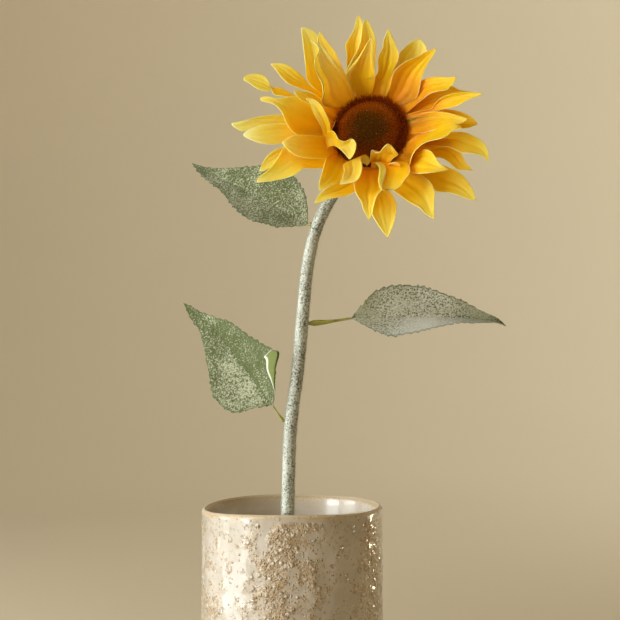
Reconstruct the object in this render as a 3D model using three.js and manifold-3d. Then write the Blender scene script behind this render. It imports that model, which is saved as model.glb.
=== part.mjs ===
// An artificial sunflower on one stem, standing in a stoneware vase.
// Units are millimetres, +Z is up, and the origin is the middle of the vase's flat underside.
import * as THREE from "three";
import Module from "manifold-3d";

const wasm = await Module();
wasm.setup();

// Vase
const VASE_RADIUS = 63;
const VASE_HEIGHT = 200;
const VASE_WALL = 5.5;
const VASE_FLOOR = 8;
const VASE_FOOT_RADIUS = 59;
const VASE_FOOT_RISE = 4;
const VASE_INNER_CORNER = 6;
const VASE_SIDES = 48;
const VASE_WOBBLE = 0.45;
const RIM_ZONE = 0.8;

// Stem, whose foot stands on the vase's floor and whose middle leans on the front of the rim
const STEM_FOOT_RADIUS = 4.6;
const STEM_TOP_RADIUS = 3.75;
const STEM_SIDES = 10;
const STEM_STEPS = 46;
const CLEARANCE = 0.3;

// Flower head
const HEAD_CENTRE = new THREE.Vector3(50.5, -105, 447.8);
const HEAD_TILT_UP = 16;
const HEAD_TURN_LEFT = 11;
const NECK_LENGTH = 22;
const DISC_RADIUS = 20;
const DISC_DOME = 8.5;
const FRINGE_RADIUS = 24.4;
const FRINGE_HEIGHT = 4.6;
const FRINGE_TEETH = 36;
const FRINGE_NOTCH = 0.9;
const DISC_EDGE = 2;

// Petals: three die-cut layers of cloth stacked behind the disc on one pin
const CLOTH = 0.8;
const HUB_RADIUS = 25;
const PETAL_ROOT = 24;
const JOIN_TOLERANCE = 0.02;
const LAYER_HEIGHTS = { front: -1.0, middle: -2.6, back: -4.2 };
const PETAL_ROWS = 7;
const PETAL_COLUMNS = 3;
const PETAL_BASE_SHARE = 0.6;
const PETAL_TIP_HALF = 0.25;
const PETAL_BROAD = 0.45;
const PETAL_POINT = 1.7;
const PETAL_CUPPING = 25;
const END_CUPPING_SHARE = 0.35;
const CURVE_HANDLE = 0.36;
const PIN_RADIUS = 3;

// Calyx behind the petals
const SEPAL_COUNT = 12;
const SEPAL_ROWS = 4;
const SEPAL_HEIGHT = -5.8;
const SEPAL_REACH = 40;
const SEPAL_SHORTER = 3;
const SEPAL_HALF_WIDTH = 5.2;
const SEPAL_DROOP = 5;
const SEPAL_FOLD = 0.9;
const CUP_TOP = -6.5;
const CUP_RADIUS = 17;
const CUP_NECK_RADIUS = 5.4;

// Leaves: one die-cut shape, used three times
const LEAF_THICKNESS = 1.15;
const LEAF_HALF_WIDTH = 25.5;
const LEAF_FULLNESS = 0.55;
const LEAF_TAPER = 1.35;
const LEAF_TIP_HALF = 0.5;
const LEAF_CURL = 10;
const LEAF_TEETH = 13;
const LEAF_TOOTH_DEPTH = 1.1;
const LEAF_COLUMNS = 4;
const STALK_GAP = 0.9;

const rad = THREE.MathUtils.degToRad;
const vec = (x, y, z) => new THREE.Vector3(x, y, z);
const smooth = (x) => THREE.MathUtils.smoothstep(x, 0, 1);

// A closed sheet from two matching grids of points, its front face and its back face.
function closedSheet(front, back) {
  const rows = front.length;
  const columns = front[0].length;
  const positions = [];
  for (const grid of [front, back]) {
    for (const row of grid) {
      for (const p of row) positions.push(p.x, p.y, p.z);
    }
  }
  const faceAt = (i, j) => i * columns + j;
  const offset = rows * columns;
  const index = [];
  for (let i = 0; i < rows - 1; i += 1) {
    for (let j = 0; j < columns - 1; j += 1) {
      const [a, b, c, d] = [faceAt(i, j), faceAt(i + 1, j), faceAt(i + 1, j + 1), faceAt(i, j + 1)];
      index.push(a, b, c, a, c, d);
      index.push(offset + a, offset + c, offset + b, offset + a, offset + d, offset + c);
    }
  }
  const wall = (a, b) => index.push(b, a, offset + a, b, offset + a, offset + b);
  for (let i = 0; i < rows - 1; i += 1) {
    wall(faceAt(i, 0), faceAt(i + 1, 0));
    wall(faceAt(i + 1, columns - 1), faceAt(i, columns - 1));
  }
  for (let j = 0; j < columns - 1; j += 1) {
    wall(faceAt(rows - 1, j), faceAt(rows - 1, j + 1));
    wall(faceAt(0, j + 1), faceAt(0, j));
  }
  const geometry = new THREE.BufferGeometry();
  geometry.setAttribute("position", new THREE.Float32BufferAttribute(positions, 3));
  geometry.setIndex(index);
  return geometry;
}

// A closed tube of round section along a curve, whose radius changes along it.
function taperedTube(curve, radiusAt, sides, steps) {
  const frames = curve.computeFrenetFrames(steps, false);
  const positions = [];
  const index = [];
  for (let i = 0; i <= steps; i += 1) {
    const centre = curve.getPointAt(i / steps);
    const radius = radiusAt(i / steps);
    for (let k = 0; k < sides; k += 1) {
      const angle = (2 * Math.PI * k) / sides;
      const p = centre.clone();
      p.addScaledVector(frames.normals[i], radius * Math.cos(angle));
      p.addScaledVector(frames.binormals[i], radius * Math.sin(angle));
      positions.push(p.x, p.y, p.z);
    }
  }
  const ends = [curve.getPointAt(0), curve.getPointAt(1)];
  for (const p of ends) positions.push(p.x, p.y, p.z);
  const first = (steps + 1) * sides;
  for (let k = 0; k < sides; k += 1) {
    const next = (k + 1) % sides;
    for (let i = 0; i < steps; i += 1) {
      const [a, b] = [i * sides + k, i * sides + next];
      const [c, d] = [a + sides, b + sides];
      index.push(a, b, d, a, d, c);
    }
    index.push(first, next, k);
    index.push(first + 1, steps * sides + k, steps * sides + next);
  }
  const geometry = new THREE.BufferGeometry();
  geometry.setAttribute("position", new THREE.Float32BufferAttribute(positions, 3));
  geometry.setIndex(index);
  return geometry;
}

// A solid of revolution with its vertices shared, ready to be joined or cut.
function turned(profile, sides) {
  const rings = [];
  const positions = [];
  const index = [];
  for (const [r, z] of profile) {
    if (r < 1e-6) {
      rings.push([positions.length / 3]);
      positions.push(0, 0, z);
    } else {
      const ring = [];
      for (let k = 0; k < sides; k += 1) {
        const angle = (2 * Math.PI * k) / sides;
        ring.push(positions.length / 3);
        positions.push(r * Math.cos(angle), r * Math.sin(angle), z);
      }
      rings.push(ring);
    }
  }
  for (let i = 0; i < rings.length - 1; i += 1) {
    const [a, b] = [rings[i], rings[i + 1]];
    for (let k = 0; k < sides; k += 1) {
      const next = (k + 1) % sides;
      if (a.length > 1) index.push(a[k], a[next], b[next % b.length]);
      if (b.length > 1) index.push(a[k % a.length], b[next], b[k]);
    }
  }
  const geometry = new THREE.BufferGeometry();
  geometry.setAttribute("position", new THREE.Float32BufferAttribute(positions, 3));
  geometry.setIndex(index);
  return geometry;
}

function solidOf(geometry) {
  const input = new wasm.Mesh({
    numProp: 3,
    vertProperties: new Float32Array(geometry.attributes.position.array),
    triVerts: new Uint32Array(geometry.index.array),
    tolerance: JOIN_TOLERANCE,
  });
  return new wasm.Manifold(input);
}

function geometryOf(solid) {
  const mesh = solid.getMesh();
  const geometry = new THREE.BufferGeometry();
  geometry.setAttribute("position", new THREE.BufferAttribute(mesh.vertProperties, 3));
  geometry.setIndex(new THREE.BufferAttribute(mesh.triVerts, 1));
  return geometry;
}

// The largest piece of a cut solid: loose scraps are dropped.
function largestPiece(solid) {
  const pieces = solid.decompose();
  pieces.sort((a, b) => b.volume() - a.volume());
  return pieces[0];
}

function mesh(name, geometry, colour, roughness) {
  geometry.computeVertexNormals();
  const material = new THREE.MeshStandardMaterial({ color: colour, roughness, metalness: 0 });
  const made = new THREE.Mesh(geometry, material);
  made.name = name;
  return made;
}

// Points along a quarter of an ellipse, or another stretch of it, between two angles in degrees.
function arc(centreR, centreZ, radiusR, radiusZ, from, to, steps) {
  const points = [];
  for (let i = 0; i <= steps; i += 1) {
    const angle = rad(from + ((to - from) * i) / steps);
    points.push([centreR + radiusR * Math.cos(angle), centreZ + radiusZ * Math.sin(angle)]);
  }
  return points;
}

// Vase: a plain thrown cylinder with a soft foot, a rounded lip and a slightly uneven rim.
function vase() {
  const inner = VASE_RADIUS - VASE_WALL;
  const lip = VASE_WALL / 2;
  const lipHeight = VASE_HEIGHT - lip;
  const footCurve = VASE_RADIUS - VASE_FOOT_RADIUS;
  const cornerTop = VASE_FLOOR + VASE_INNER_CORNER;
  const wallSteps = 4;
  const wall = (radius, from, to) => {
    const points = [];
    for (let i = 1; i < wallSteps; i += 1) points.push([radius, from + ((to - from) * i) / wallSteps]);
    return points;
  };
  const profile = [
    [0, 0],
    ...arc(VASE_FOOT_RADIUS, VASE_FOOT_RISE, footCurve, VASE_FOOT_RISE, -90, 0, 3),
    ...wall(VASE_RADIUS, VASE_FOOT_RISE, lipHeight),
    ...arc(inner + lip, lipHeight, lip, lip, 0, 180, 6),
    ...wall(inner, lipHeight, cornerTop),
    ...arc(inner - VASE_INNER_CORNER, cornerTop, VASE_INNER_CORNER, VASE_INNER_CORNER, 0, -90, 3),
    [0, VASE_FLOOR],
  ];
  const geometry = turned(profile, VASE_SIDES);
  const position = geometry.attributes.position;
  for (let i = 0; i < position.count; i += 1) {
    const [x, y, z] = [position.getX(i), position.getY(i), position.getZ(i)];
    const height = z / VASE_HEIGHT;
    const angle = Math.atan2(y, x);
    const swell = 1 + (VASE_WOBBLE / VASE_RADIUS) * height * Math.sin(2 * angle + 3 * height);
    const rim = VASE_WOBBLE * smooth((height - RIM_ZONE) / (1 - RIM_ZONE)) * Math.sin(3 * angle + 0.8);
    position.setXYZ(i, x * swell, y * swell, z + rim);
  }
  return geometry;
}

// The head's own axes: across to the right, up the face, and out of the face.
function headAxes() {
  const [up, left] = [rad(HEAD_TILT_UP), rad(HEAD_TURN_LEFT)];
  const out = vec(-Math.sin(left) * Math.cos(up), -Math.cos(left) * Math.cos(up), Math.sin(up));
  const across = vec(0, 0, 1).cross(out).normalize();
  const upward = out.clone().cross(across);
  return { across, upward, out };
}

// Stem: from the vase's floor, over the front of the rim, then up and forward into the calyx.
function stemCurve() {
  const { out } = headAxes();
  const neck = (distance) => HEAD_CENTRE.clone().addScaledVector(out, -distance);
  return new THREE.CatmullRomCurve3([
    vec(-8, -35, VASE_FLOOR + CLEARANCE + 0.35),
    vec(-5.2, -44, 103),
    vec(-2.3, -52.2, 197),
    vec(-0.2, -56.8, 258),
    vec(4.6, -59.3, 297),
    vec(8.2, -60.4, 336),
    vec(10.9, -60.2, 363),
    vec(16.6, -59, 389),
    vec(25.6, -58.2, 408),
    vec(38.5, -59.5, 427),
    vec(51, -66, 437.8),
    neck(NECK_LENGTH + 9.5),
    neck(NECK_LENGTH + CLEARANCE / 2),
  ]);
}

const stemRadiusAt = (t) => STEM_FOOT_RADIUS + (STEM_TOP_RADIUS - STEM_FOOT_RADIUS) * t;

// Petals. Each has a base and a tip angle round the head (degrees, anticlockwise from the right),
// the tip's reach and lift, the slopes at its base and tip, how its tip swings sideways, and half
// its width. twist rolls it about its own length, broad moves its widest place, and point sets
// how sharply it ends.
const BACK_PETALS = [
  { base: 139, tip: 124, reach: 80, lift: 18, rise: 25, level: 15, swing: -10, half: 8, broad: 0.5 },
  { base: 101, tip: 96, reach: 71, lift: 22, rise: 25, level: 15, swing: -22, half: 7 },
  {
    base: 69, tip: 57, reach: 63, lift: 18, rise: 20, level: 15, swing: -18,
    half: 8.5, broad: 0.6, point: 3.5,
  },
  { base: 24, tip: 14, reach: 74, lift: 14, rise: 15, level: 10, swing: -16, half: 7.5 },
  { base: 20, tip: 0, reach: 69, lift: 10, rise: 10, level: 5, swing: -16, half: 8 },
  { base: -20, tip: -24, reach: 73, lift: 8, rise: 15, level: -5, swing: -22, half: 9 },
  { base: -39, tip: -35, reach: 84, lift: 5, rise: 5, level: 5, swing: -12, half: 9.5 },
  { base: -79, tip: -78, reach: 74, lift: 5, rise: 5, level: 5, swing: 0, half: 9 },
  { base: -95, tip: -122, reach: 59, lift: 6, rise: 5, level: 5, swing: -28, half: 8 },
  { base: -165, tip: -158, reach: 74, lift: 8, rise: 10, level: 5, swing: 22, half: 7.5 },
  { base: 170, tip: 179, reach: 88, lift: 12, rise: 12, level: 5, swing: 14, half: 8, point: 2.6 },
  {
    base: 150, tip: 159, reach: 88, lift: 14, rise: 20, level: 5, swing: 6,
    half: 7, twist: [-180, 0], broad: 0.65,
  },
];
const MIDDLE_PETALS = [
  { base: 145, tip: 148, reach: 74, lift: 22, rise: 25, level: 15, swing: -4, half: 7 },
  { base: 125, tip: 117, reach: 67, lift: 24, rise: 30, level: 20, swing: -6, half: 7.5 },
  { base: 99, tip: 91, reach: 64, lift: 28, rise: 30, level: 25, swing: 2, half: 7.5 },
  { base: 55, tip: 46, reach: 63, lift: 24, rise: 28, level: 20, swing: -24, half: 9.5 },
  { base: 37, tip: 25, reach: 62, lift: 22, rise: 25, level: 15, swing: -16, half: 9 },
  { base: -12, tip: -19, reach: 81, lift: 12, rise: 25, level: -15, swing: -46, half: 8.5 },
  { base: -58, tip: -55, reach: 77, lift: 12, rise: 15, level: 5, swing: -4, half: 11 },
  {
    base: -87, tip: -86, reach: 64, lift: 14, rise: 20, level: 5, swing: 4,
    half: 9.5, broad: 0.3, point: 1.3,
  },
  { base: -137, tip: -121, reach: 53, lift: 18, rise: 30, level: 10, swing: -18, half: 9 },
  { base: -153, tip: -151, reach: 78, lift: 14, rise: 20, level: 5, swing: 0, half: 10 },
  { base: -176, tip: -175, reach: 78, lift: 18, rise: 20, level: 5, swing: -10, half: 8.5 },
  { base: 168, tip: 168, reach: 69, lift: 22, rise: 25, level: 10, swing: 0, half: 10 },
];
const FRONT_PETALS = [
  { base: 142, tip: 126, reach: 61, lift: 34, rise: 38, level: 30, swing: 34, half: 9 },
  {
    base: 104, tip: 86, reach: 52, lift: 30, rise: 38, level: 30, swing: -20,
    half: 9.5, broad: 0.3, point: 1.3,
  },
  { base: 74, tip: 77, reach: 60, lift: 28, rise: 32, level: 25, swing: 10, half: 7.8 },
  { base: 22, tip: 13, reach: 65, lift: 24, rise: 30, level: 15, swing: -10, half: 8 },
  { base: 7, tip: -1, reach: 64, lift: 20, rise: 25, level: 10, swing: -4, half: 8.5 },
  { base: -21, tip: -8, reach: 62, lift: 24, rise: 45, level: 10, swing: 10, half: 8, twist: [-20, -55] },
  { base: -66, tip: -33, reach: 62, lift: 20, rise: 50, level: -10, swing: -10, half: 9 },
  { base: -56, tip: -72, reach: 48, lift: 18, rise: 50, level: -20, swing: -60, half: 8.5 },
  {
    base: -74, tip: -46, reach: 21, lift: 20, rise: 70, level: 100, swing: -18,
    half: 8, broad: 0.4, point: 1.4,
  },
  { base: -111, tip: -106, reach: 45, lift: 18, rise: 50, level: -10, swing: -16, half: 7 },
  { base: -139, tip: -117, reach: 15, lift: 22, rise: 70, level: 100, swing: -6, half: 9, point: 3 },
  { base: -160, tip: -165, reach: 54, lift: 22, rise: 35, level: 15, swing: -26, half: 8, point: 3 },
  { base: 167, tip: 161, reach: 39, lift: 26, rise: 60, level: 20, swing: -14, half: 7, twist: [-30, -50] },
  { base: 155, tip: 157, reach: 49, lift: 26, rise: 40, level: 20, swing: -14, half: 6 },
];

// One petal as a closed sheet: a middle line on a cubic curve, carrying curved cross-sections.
function petalSolid(petal, height, thickness, margin) {
  const { twist = [0, 0], broad = PETAL_BROAD, point = PETAL_POINT } = petal;
  const polar = (angle, radius, z) => vec(radius * Math.cos(rad(angle)), radius * Math.sin(rad(angle)), z);
  const heading = (angle, slope) => polar(angle, Math.cos(rad(slope)), Math.sin(rad(slope)));
  const start = polar(petal.base, PETAL_ROOT, height);
  const end = polar(petal.tip, petal.reach, petal.lift);
  const length = start.distanceTo(end);
  const second = start.clone().addScaledVector(heading(petal.base, petal.rise), CURVE_HANDLE * length);
  const ending = heading(petal.tip + petal.swing, petal.level);
  const third = end.clone().addScaledVector(ending, -CURVE_HANDLE * length);
  const line = new THREE.CubicBezierCurve3(start, second, third, end);
  const sideways = polar(petal.base + 90, 1, 0);
  const front = [];
  const back = [];
  for (let i = 0; i <= PETAL_ROWS; i += 1) {
    const s = i / PETAL_ROWS;
    const centre = line.getPoint(s);
    const along = line.getTangent(s);
    const side = sideways.clone().addScaledVector(along, -sideways.dot(along)).normalize();
    side.applyAxisAngle(along, rad(twist[0] + (twist[1] - twist[0]) * smooth(s)));
    const out = along.clone().cross(side);
    const swell = Math.sin((Math.PI / 2) * Math.min(s / broad, 1));
    const widening = PETAL_BASE_SHARE + (1 - PETAL_BASE_SHARE) * swell;
    const narrowing = 1 - Math.max(0, (s - broad) / (1 - broad)) ** point;
    const half = petal.half * widening * narrowing + PETAL_TIP_HALF + margin;
    const bend = END_CUPPING_SHARE + (1 - END_CUPPING_SHARE) * Math.sin(Math.PI * s ** 0.8);
    const cup = rad(PETAL_CUPPING) * bend;
    front.push([]);
    back.push([]);
    for (let j = 0; j <= PETAL_COLUMNS; j += 1) {
      const turn = cup * ((2 * j) / PETAL_COLUMNS - 1);
      const p = centre.clone();
      p.addScaledVector(side, (half * Math.sin(turn)) / cup);
      p.addScaledVector(out, (half * (1 - Math.cos(turn))) / cup);
      const normal = out.clone().multiplyScalar(Math.cos(turn)).addScaledVector(side, -Math.sin(turn));
      front[i].push(p.clone().addScaledVector(normal, thickness / 2));
      back[i].push(p.clone().addScaledVector(normal, -thickness / 2));
    }
  }
  return solidOf(closedSheet(front, back));
}

function discSolid(radius, low, high) {
  return solidOf(turned([[0, low], [radius, low], [radius, high], [0, high]], 36));
}

// A layer of petals on its hub, or the room it needs when thickness and margin are enlarged.
function layerSolid(petals, height, thickness, margin) {
  let layer = discSolid(HUB_RADIUS + margin, height - thickness / 2, height + thickness / 2);
  for (const petal of petals) layer = layer.add(petalSolid(petal, height, thickness, margin));
  return layer;
}

// Fringe: a ring of dark bristles round the disc, its outside edge toothed.
function fringe() {
  const inner = DISC_RADIUS + CLEARANCE;
  const middle = (inner + FRINGE_RADIUS) / 2;
  const corners = 5;
  const steps = FRINGE_TEETH * 2;
  const positions = [];
  const index = [];
  for (let k = 0; k < steps; k += 1) {
    const angle = (2 * Math.PI * k) / steps;
    const notch = k % 2 ? FRINGE_NOTCH : 0;
    const outer = FRINGE_RADIUS - notch;
    const section = [
      [inner, 0], [outer, 0], [outer + notch / 2, FRINGE_HEIGHT * 0.55],
      [middle, FRINGE_HEIGHT - notch / 2], [inner, FRINGE_HEIGHT * 0.7],
    ];
    for (const [r, z] of section) positions.push(r * Math.cos(angle), r * Math.sin(angle), z);
  }
  for (let k = 0; k < steps; k += 1) {
    const [here, there] = [k * corners, ((k + 1) % steps) * corners];
    for (let c = 0; c < corners; c += 1) {
      const d = (c + 1) % corners;
      index.push(here + c, there + c, there + d, here + c, there + d, here + d);
    }
  }
  const geometry = new THREE.BufferGeometry();
  geometry.setAttribute("position", new THREE.Float32BufferAttribute(positions, 3));
  geometry.setIndex(index);
  return geometry;
}

// Seed disc: a flat underside, a short upright edge and a low dome.
function seedDisc() {
  const dome = arc(0, DISC_EDGE, DISC_RADIUS, DISC_DOME - DISC_EDGE, 0, 90, 6);
  dome[dome.length - 1][0] = 0;
  return turned([[0, 0], [DISC_RADIUS, 0], ...dome], 36);
}

// Calyx: a cup that grips the stem's top, and a felt star of pointed sepals on it.
function calyxCup() {
  const bottom = -NECK_LENGTH + CLEARANCE / 2;
  const flare = arc(CUP_NECK_RADIUS, CUP_TOP, CUP_RADIUS - CUP_NECK_RADIUS, CUP_TOP - bottom, -90, 0, 6);
  const pinTop = -CLEARANCE;
  return turned([[0, bottom], ...flare, [PIN_RADIUS, CUP_TOP], [PIN_RADIUS, pinTop], [0, pinTop]], 28);
}

// One pointed sepal: every other one is shorter and hangs back further.
function sepal(index) {
  const angle = (360 * index) / SEPAL_COUNT;
  const inner = index % 2 === 0;
  const reach = inner ? SEPAL_REACH - SEPAL_SHORTER : SEPAL_REACH;
  const droop = inner ? SEPAL_DROOP : SEPAL_DROOP / 2;
  const front = [];
  const back = [];
  for (let i = 0; i <= SEPAL_ROWS; i += 1) {
    const s = i / SEPAL_ROWS;
    const radius = CUP_RADIUS + (reach - CUP_RADIUS) * s;
    const height = SEPAL_HEIGHT - droop * s * s;
    const half = SEPAL_HALF_WIDTH * (1 - s ** PETAL_POINT) + PETAL_TIP_HALF;
    front.push([]);
    back.push([]);
    for (const t of [-1, 0, 1]) {
      const p = vec(radius, t * half, height - SEPAL_FOLD * Math.abs(t) * Math.sin(Math.PI * s));
      p.applyAxisAngle(vec(0, 0, 1), rad(angle));
      front[i].push(p.clone().add(vec(0, 0, CLOTH / 2)));
      back[i].push(p.clone().add(vec(0, 0, -CLOTH / 2)));
    }
  }
  return solidOf(closedSheet(front, back));
}

function sepalRing() {
  let ring = discSolid(CUP_RADIUS + 2, SEPAL_HEIGHT - CLOTH / 2, SEPAL_HEIGHT + CLOTH / 2);
  for (let k = 0; k < SEPAL_COUNT; k += 1) ring = ring.add(sepal(k));
  return ring;
}

// Leaves. base and tip are the ends of the midrib; leave and arrive are its directions there;
// folds are how far each half turns from the plane that faces the front, at base and at tip; joint is
// the height at which its stalk leaves the stem, and stalk is that stalk's radius there.
const LEAVES = [
  {
    name: "upper_left", base: vec(9.8, -57, 392.6), tip: vec(-69.8, -5, 438), stalk: 1.3,
    leave: vec(-0.8, 0.35, 0.35), arrive: vec(-0.7, 0.4, 0.5), folds: [[-8, -8], [50, 50]], joint: 391.5,
  },
  {
    name: "right", base: vec(39.6, -58, 330.2), tip: vec(143.7, -45, 325), stalk: 1.9,
    leave: vec(0.95, 0.1, 0.02), arrive: vec(0.95, 0.1, -0.2), folds: [[42, 80], [-52, -32]], joint: 327,
  },
  {
    name: "lower_left", base: vec(-12, -58, 272.5), tip: vec(-75.1, -10, 340.3), stalk: 1.3,
    leave: vec(-0.62, 0.3, 0.75), arrive: vec(-0.75, 0.45, 0.55), folds: [[38, 22], [-4, -4]], joint: 261,
  },
];

// Half a leaf's width at a share of its length: full near the base, drawn out to the tip.
function leafOutline(s) {
  const bulge = Math.sin(Math.PI * s ** LEAF_FULLNESS);
  const widest = 0.5 ** (1 / LEAF_FULLNESS);
  return LEAF_HALF_WIDTH * (s < widest ? bulge : bulge ** LEAF_TAPER) + LEAF_TIP_HALF;
}

// A leaf as a closed sheet, folded along its midrib, with teeth down both edges.
function leafSheet(leaf) {
  const reach = leaf.base.distanceTo(leaf.tip) * CURVE_HANDLE;
  const second = leaf.base.clone().addScaledVector(leaf.leave.clone().normalize(), reach);
  const third = leaf.tip.clone().addScaledVector(leaf.arrive.clone().normalize(), -reach);
  const line = new THREE.CubicBezierCurve3(leaf.base, second, third, leaf.tip);
  const facing = vec(0, -1, 0);
  const rows = LEAF_TEETH * 2;
  const front = [];
  const back = [];
  for (let i = 0; i <= rows; i += 1) {
    const s = i / rows;
    const centre = line.getPoint(s);
    const along = line.getTangent(s);
    const side = facing.clone().cross(along).normalize();
    const out = along.clone().cross(side);
    const tooth = i % 2 ? LEAF_TOOTH_DEPTH * (1 - s / 2) : 0;
    const half = leafOutline(Math.min(s, 0.999)) + tooth;
    front.push([]);
    back.push([]);
    for (let j = 0; j <= LEAF_COLUMNS; j += 1) {
      const t = (2 * j) / LEAF_COLUMNS - 1;
      const [near, far] = leaf.folds[t < 0 ? 0 : 1];
      const turn = rad(near + (far - near) * s + LEAF_CURL * Math.abs(t));
      const p = centre.clone();
      p.addScaledVector(side, t * half * Math.cos(turn));
      p.addScaledVector(out, Math.abs(t) * half * Math.sin(turn));
      front[i].push(p.clone().addScaledVector(out, LEAF_THICKNESS / 2));
      back[i].push(p.clone().addScaledVector(out, -LEAF_THICKNESS / 2));
    }
  }
  return closedSheet(front, back);
}

// How far along the stem a height is reached, from 0 at the foot to 1 at the neck.
function stemParameterAt(stem, height) {
  let [low, high] = [0, 1];
  for (let i = 0; i < 30; i += 1) {
    const middle = (low + high) / 2;
    if (stem.getPointAt(middle).z < height) low = middle;
    else high = middle;
  }
  return low;
}

// A leaf's stalk: from the stem's side straight to the leaf's base. Its start is drawn back by
// as much as its slanted end would dip into the stem.
function stalkCurve(leaf, stem) {
  const t = stemParameterAt(stem, leaf.joint);
  const joint = stem.getPointAt(t);
  const grain = stem.getTangentAt(t);
  const toLeaf = leaf.base.clone().sub(joint);
  const sideways = toLeaf.clone().addScaledVector(grain, -toLeaf.dot(grain)).normalize();
  const slant = sideways.angleTo(toLeaf);
  const offset = stemRadiusAt(t) + CLEARANCE + leaf.stalk * Math.sin(slant);
  const start = joint.clone().addScaledVector(sideways, offset);
  const end = leaf.base.clone().addScaledVector(leaf.leave.clone().normalize(), -STALK_GAP);
  return new THREE.CatmullRomCurve3([start, start.clone().lerp(end, 0.5), end]);
}

const plant = new THREE.Group();
plant.add(mesh("vase", vase(), "#d2bf9f", 0.45));
const stem = stemCurve();
plant.add(mesh("stem", taperedTube(stem, stemRadiusAt, STEM_SIDES, STEM_STEPS), "#8c9478", 0.95));
for (const leaf of LEAVES) {
  plant.add(mesh(`leaf_${leaf.name}`, leafSheet(leaf), "#8b9778", 0.95));
  const thick = (t) => leaf.stalk * (1 - 0.35 * smooth(t / 0.8));
  plant.add(mesh(`stalk_${leaf.name}`, taperedTube(stalkCurve(leaf, stem), thick, 8, 6), "#80852e", 0.6));
}

const head = new THREE.Group();
const axes = headAxes();
head.position.copy(HEAD_CENTRE);
head.quaternion.setFromRotationMatrix(new THREE.Matrix4().makeBasis(axes.across, axes.upward, axes.out));
plant.add(head);

const room = CLOTH + 2 * CLEARANCE;
const pinHole = discSolid(PIN_RADIUS + CLEARANCE, CUP_TOP, CLEARANCE);
const fringeRoom = discSolid(FRINGE_RADIUS + CLEARANCE, -CLEARANCE, FRINGE_HEIGHT + CLEARANCE);
const frontLayer = layerSolid(FRONT_PETALS, LAYER_HEIGHTS.front, CLOTH, 0).subtract(fringeRoom);
const frontRoom = layerSolid(FRONT_PETALS, LAYER_HEIGHTS.front, room, CLEARANCE);
const middleLayer = layerSolid(MIDDLE_PETALS, LAYER_HEIGHTS.middle, CLOTH, 0).subtract(frontRoom);
const middleRoom = layerSolid(MIDDLE_PETALS, LAYER_HEIGHTS.middle, room, CLEARANCE);
const backSheet = layerSolid(BACK_PETALS, LAYER_HEIGHTS.back, CLOTH, 0);
const backLayer = backSheet.subtract(middleRoom).subtract(frontRoom);
const layers = { front: frontLayer, middle: middleLayer, back: backLayer };
const layerColours = { front: "#f5b82a", middle: "#f0aa20", back: "#e39a18" };
for (const [name, layer] of Object.entries(layers)) {
  const cut = largestPiece(layer.subtract(pinHole));
  head.add(mesh(`petal_layer_${name}`, geometryOf(cut), layerColours[name], 0.7));
}
const sepals = sepalRing().subtract(pinHole);
head.add(mesh("sepal_ring", geometryOf(sepals), "#6f7f4a", 0.9));
head.add(mesh("calyx_cup", calyxCup(), "#66763f", 0.8));
head.add(mesh("seed_disc", seedDisc(), "#4a2408", 0.95));
head.add(mesh("disc_fringe", fringe(), "#2a1204", 0.95));

export default plant;
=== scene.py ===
"""An artificial sunflower in a stoneware vase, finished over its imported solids.

Named sizes are millimetres, as in the part's source, and put_piece turns them to metres.
"""

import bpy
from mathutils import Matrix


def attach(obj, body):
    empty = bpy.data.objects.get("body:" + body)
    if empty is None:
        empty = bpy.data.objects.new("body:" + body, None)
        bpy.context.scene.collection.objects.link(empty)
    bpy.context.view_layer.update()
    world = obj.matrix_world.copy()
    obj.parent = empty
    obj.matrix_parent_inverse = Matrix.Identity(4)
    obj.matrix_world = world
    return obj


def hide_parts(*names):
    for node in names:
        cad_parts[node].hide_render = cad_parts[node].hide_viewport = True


bl_info = {
    "name": "Artificial sunflower in a vase",
    "version": (1, 0, 0),
    "blender": (4, 5, 0),
    "location": "3D View > Sidebar > Sunflower",
    "description": "Builds a cloth sunflower, its flocked stem and leaves, its vase and a studio",
    "category": "Object",
}

import bpy
import numpy as np
from mathutils import Vector

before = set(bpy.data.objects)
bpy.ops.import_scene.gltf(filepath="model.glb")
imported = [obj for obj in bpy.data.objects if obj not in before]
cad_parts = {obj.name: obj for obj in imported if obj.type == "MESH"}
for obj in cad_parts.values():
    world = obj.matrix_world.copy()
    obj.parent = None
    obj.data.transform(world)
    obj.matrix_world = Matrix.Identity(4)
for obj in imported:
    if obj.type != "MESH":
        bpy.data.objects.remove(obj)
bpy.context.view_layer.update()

MM = 0.001
SEED = 11
NOISE_CELLS = 300
NODES_IN_ROW = 8
NODE_STEP = (220, -260)
MAP_SIDE = 0.01
MAP_END = 0.02
PLATE_INNER = 2.0

# Vase
VASE_RADIUS = 63
VASE_HEIGHT = 200
VASE_WALL = 5.5
VASE_FLOOR = 8
VASE_FOOT_RADIUS = 59
VASE_FOOT_RISE = 4
VASE_INNER_CORNER = 6
VASE_WOBBLE = 0.45
RIM_ZONE = 0.8
RIM_TILT = (-0.8, 0.7, -0.7)
MOUTH_FLARE = 1.1
MOUTH_FLARE_DEPTH = 17
MOUTH_LEAN = 0.11
VASE_AROUND = 408
VASE_WALL_ROWS = 186
VASE_INNER_ROWS = 22

# Stem
STEM_FOOT_RADIUS = 4.6
STEM_TOP_RADIUS = 3.75
CLEARANCE = 0.3

# Flower head
HEAD_CENTRE = np.array([50.5, -105, 447.8])
HEAD_TILT_UP = 16
HEAD_TURN_LEFT = 11
NECK_LENGTH = 22
NECK_STRAIGHT = 9.5
DISC_RADIUS = 20
DISC_DOME = 8.5
DISC_EDGE = 2
FRINGE_RADIUS = 24.4

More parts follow.
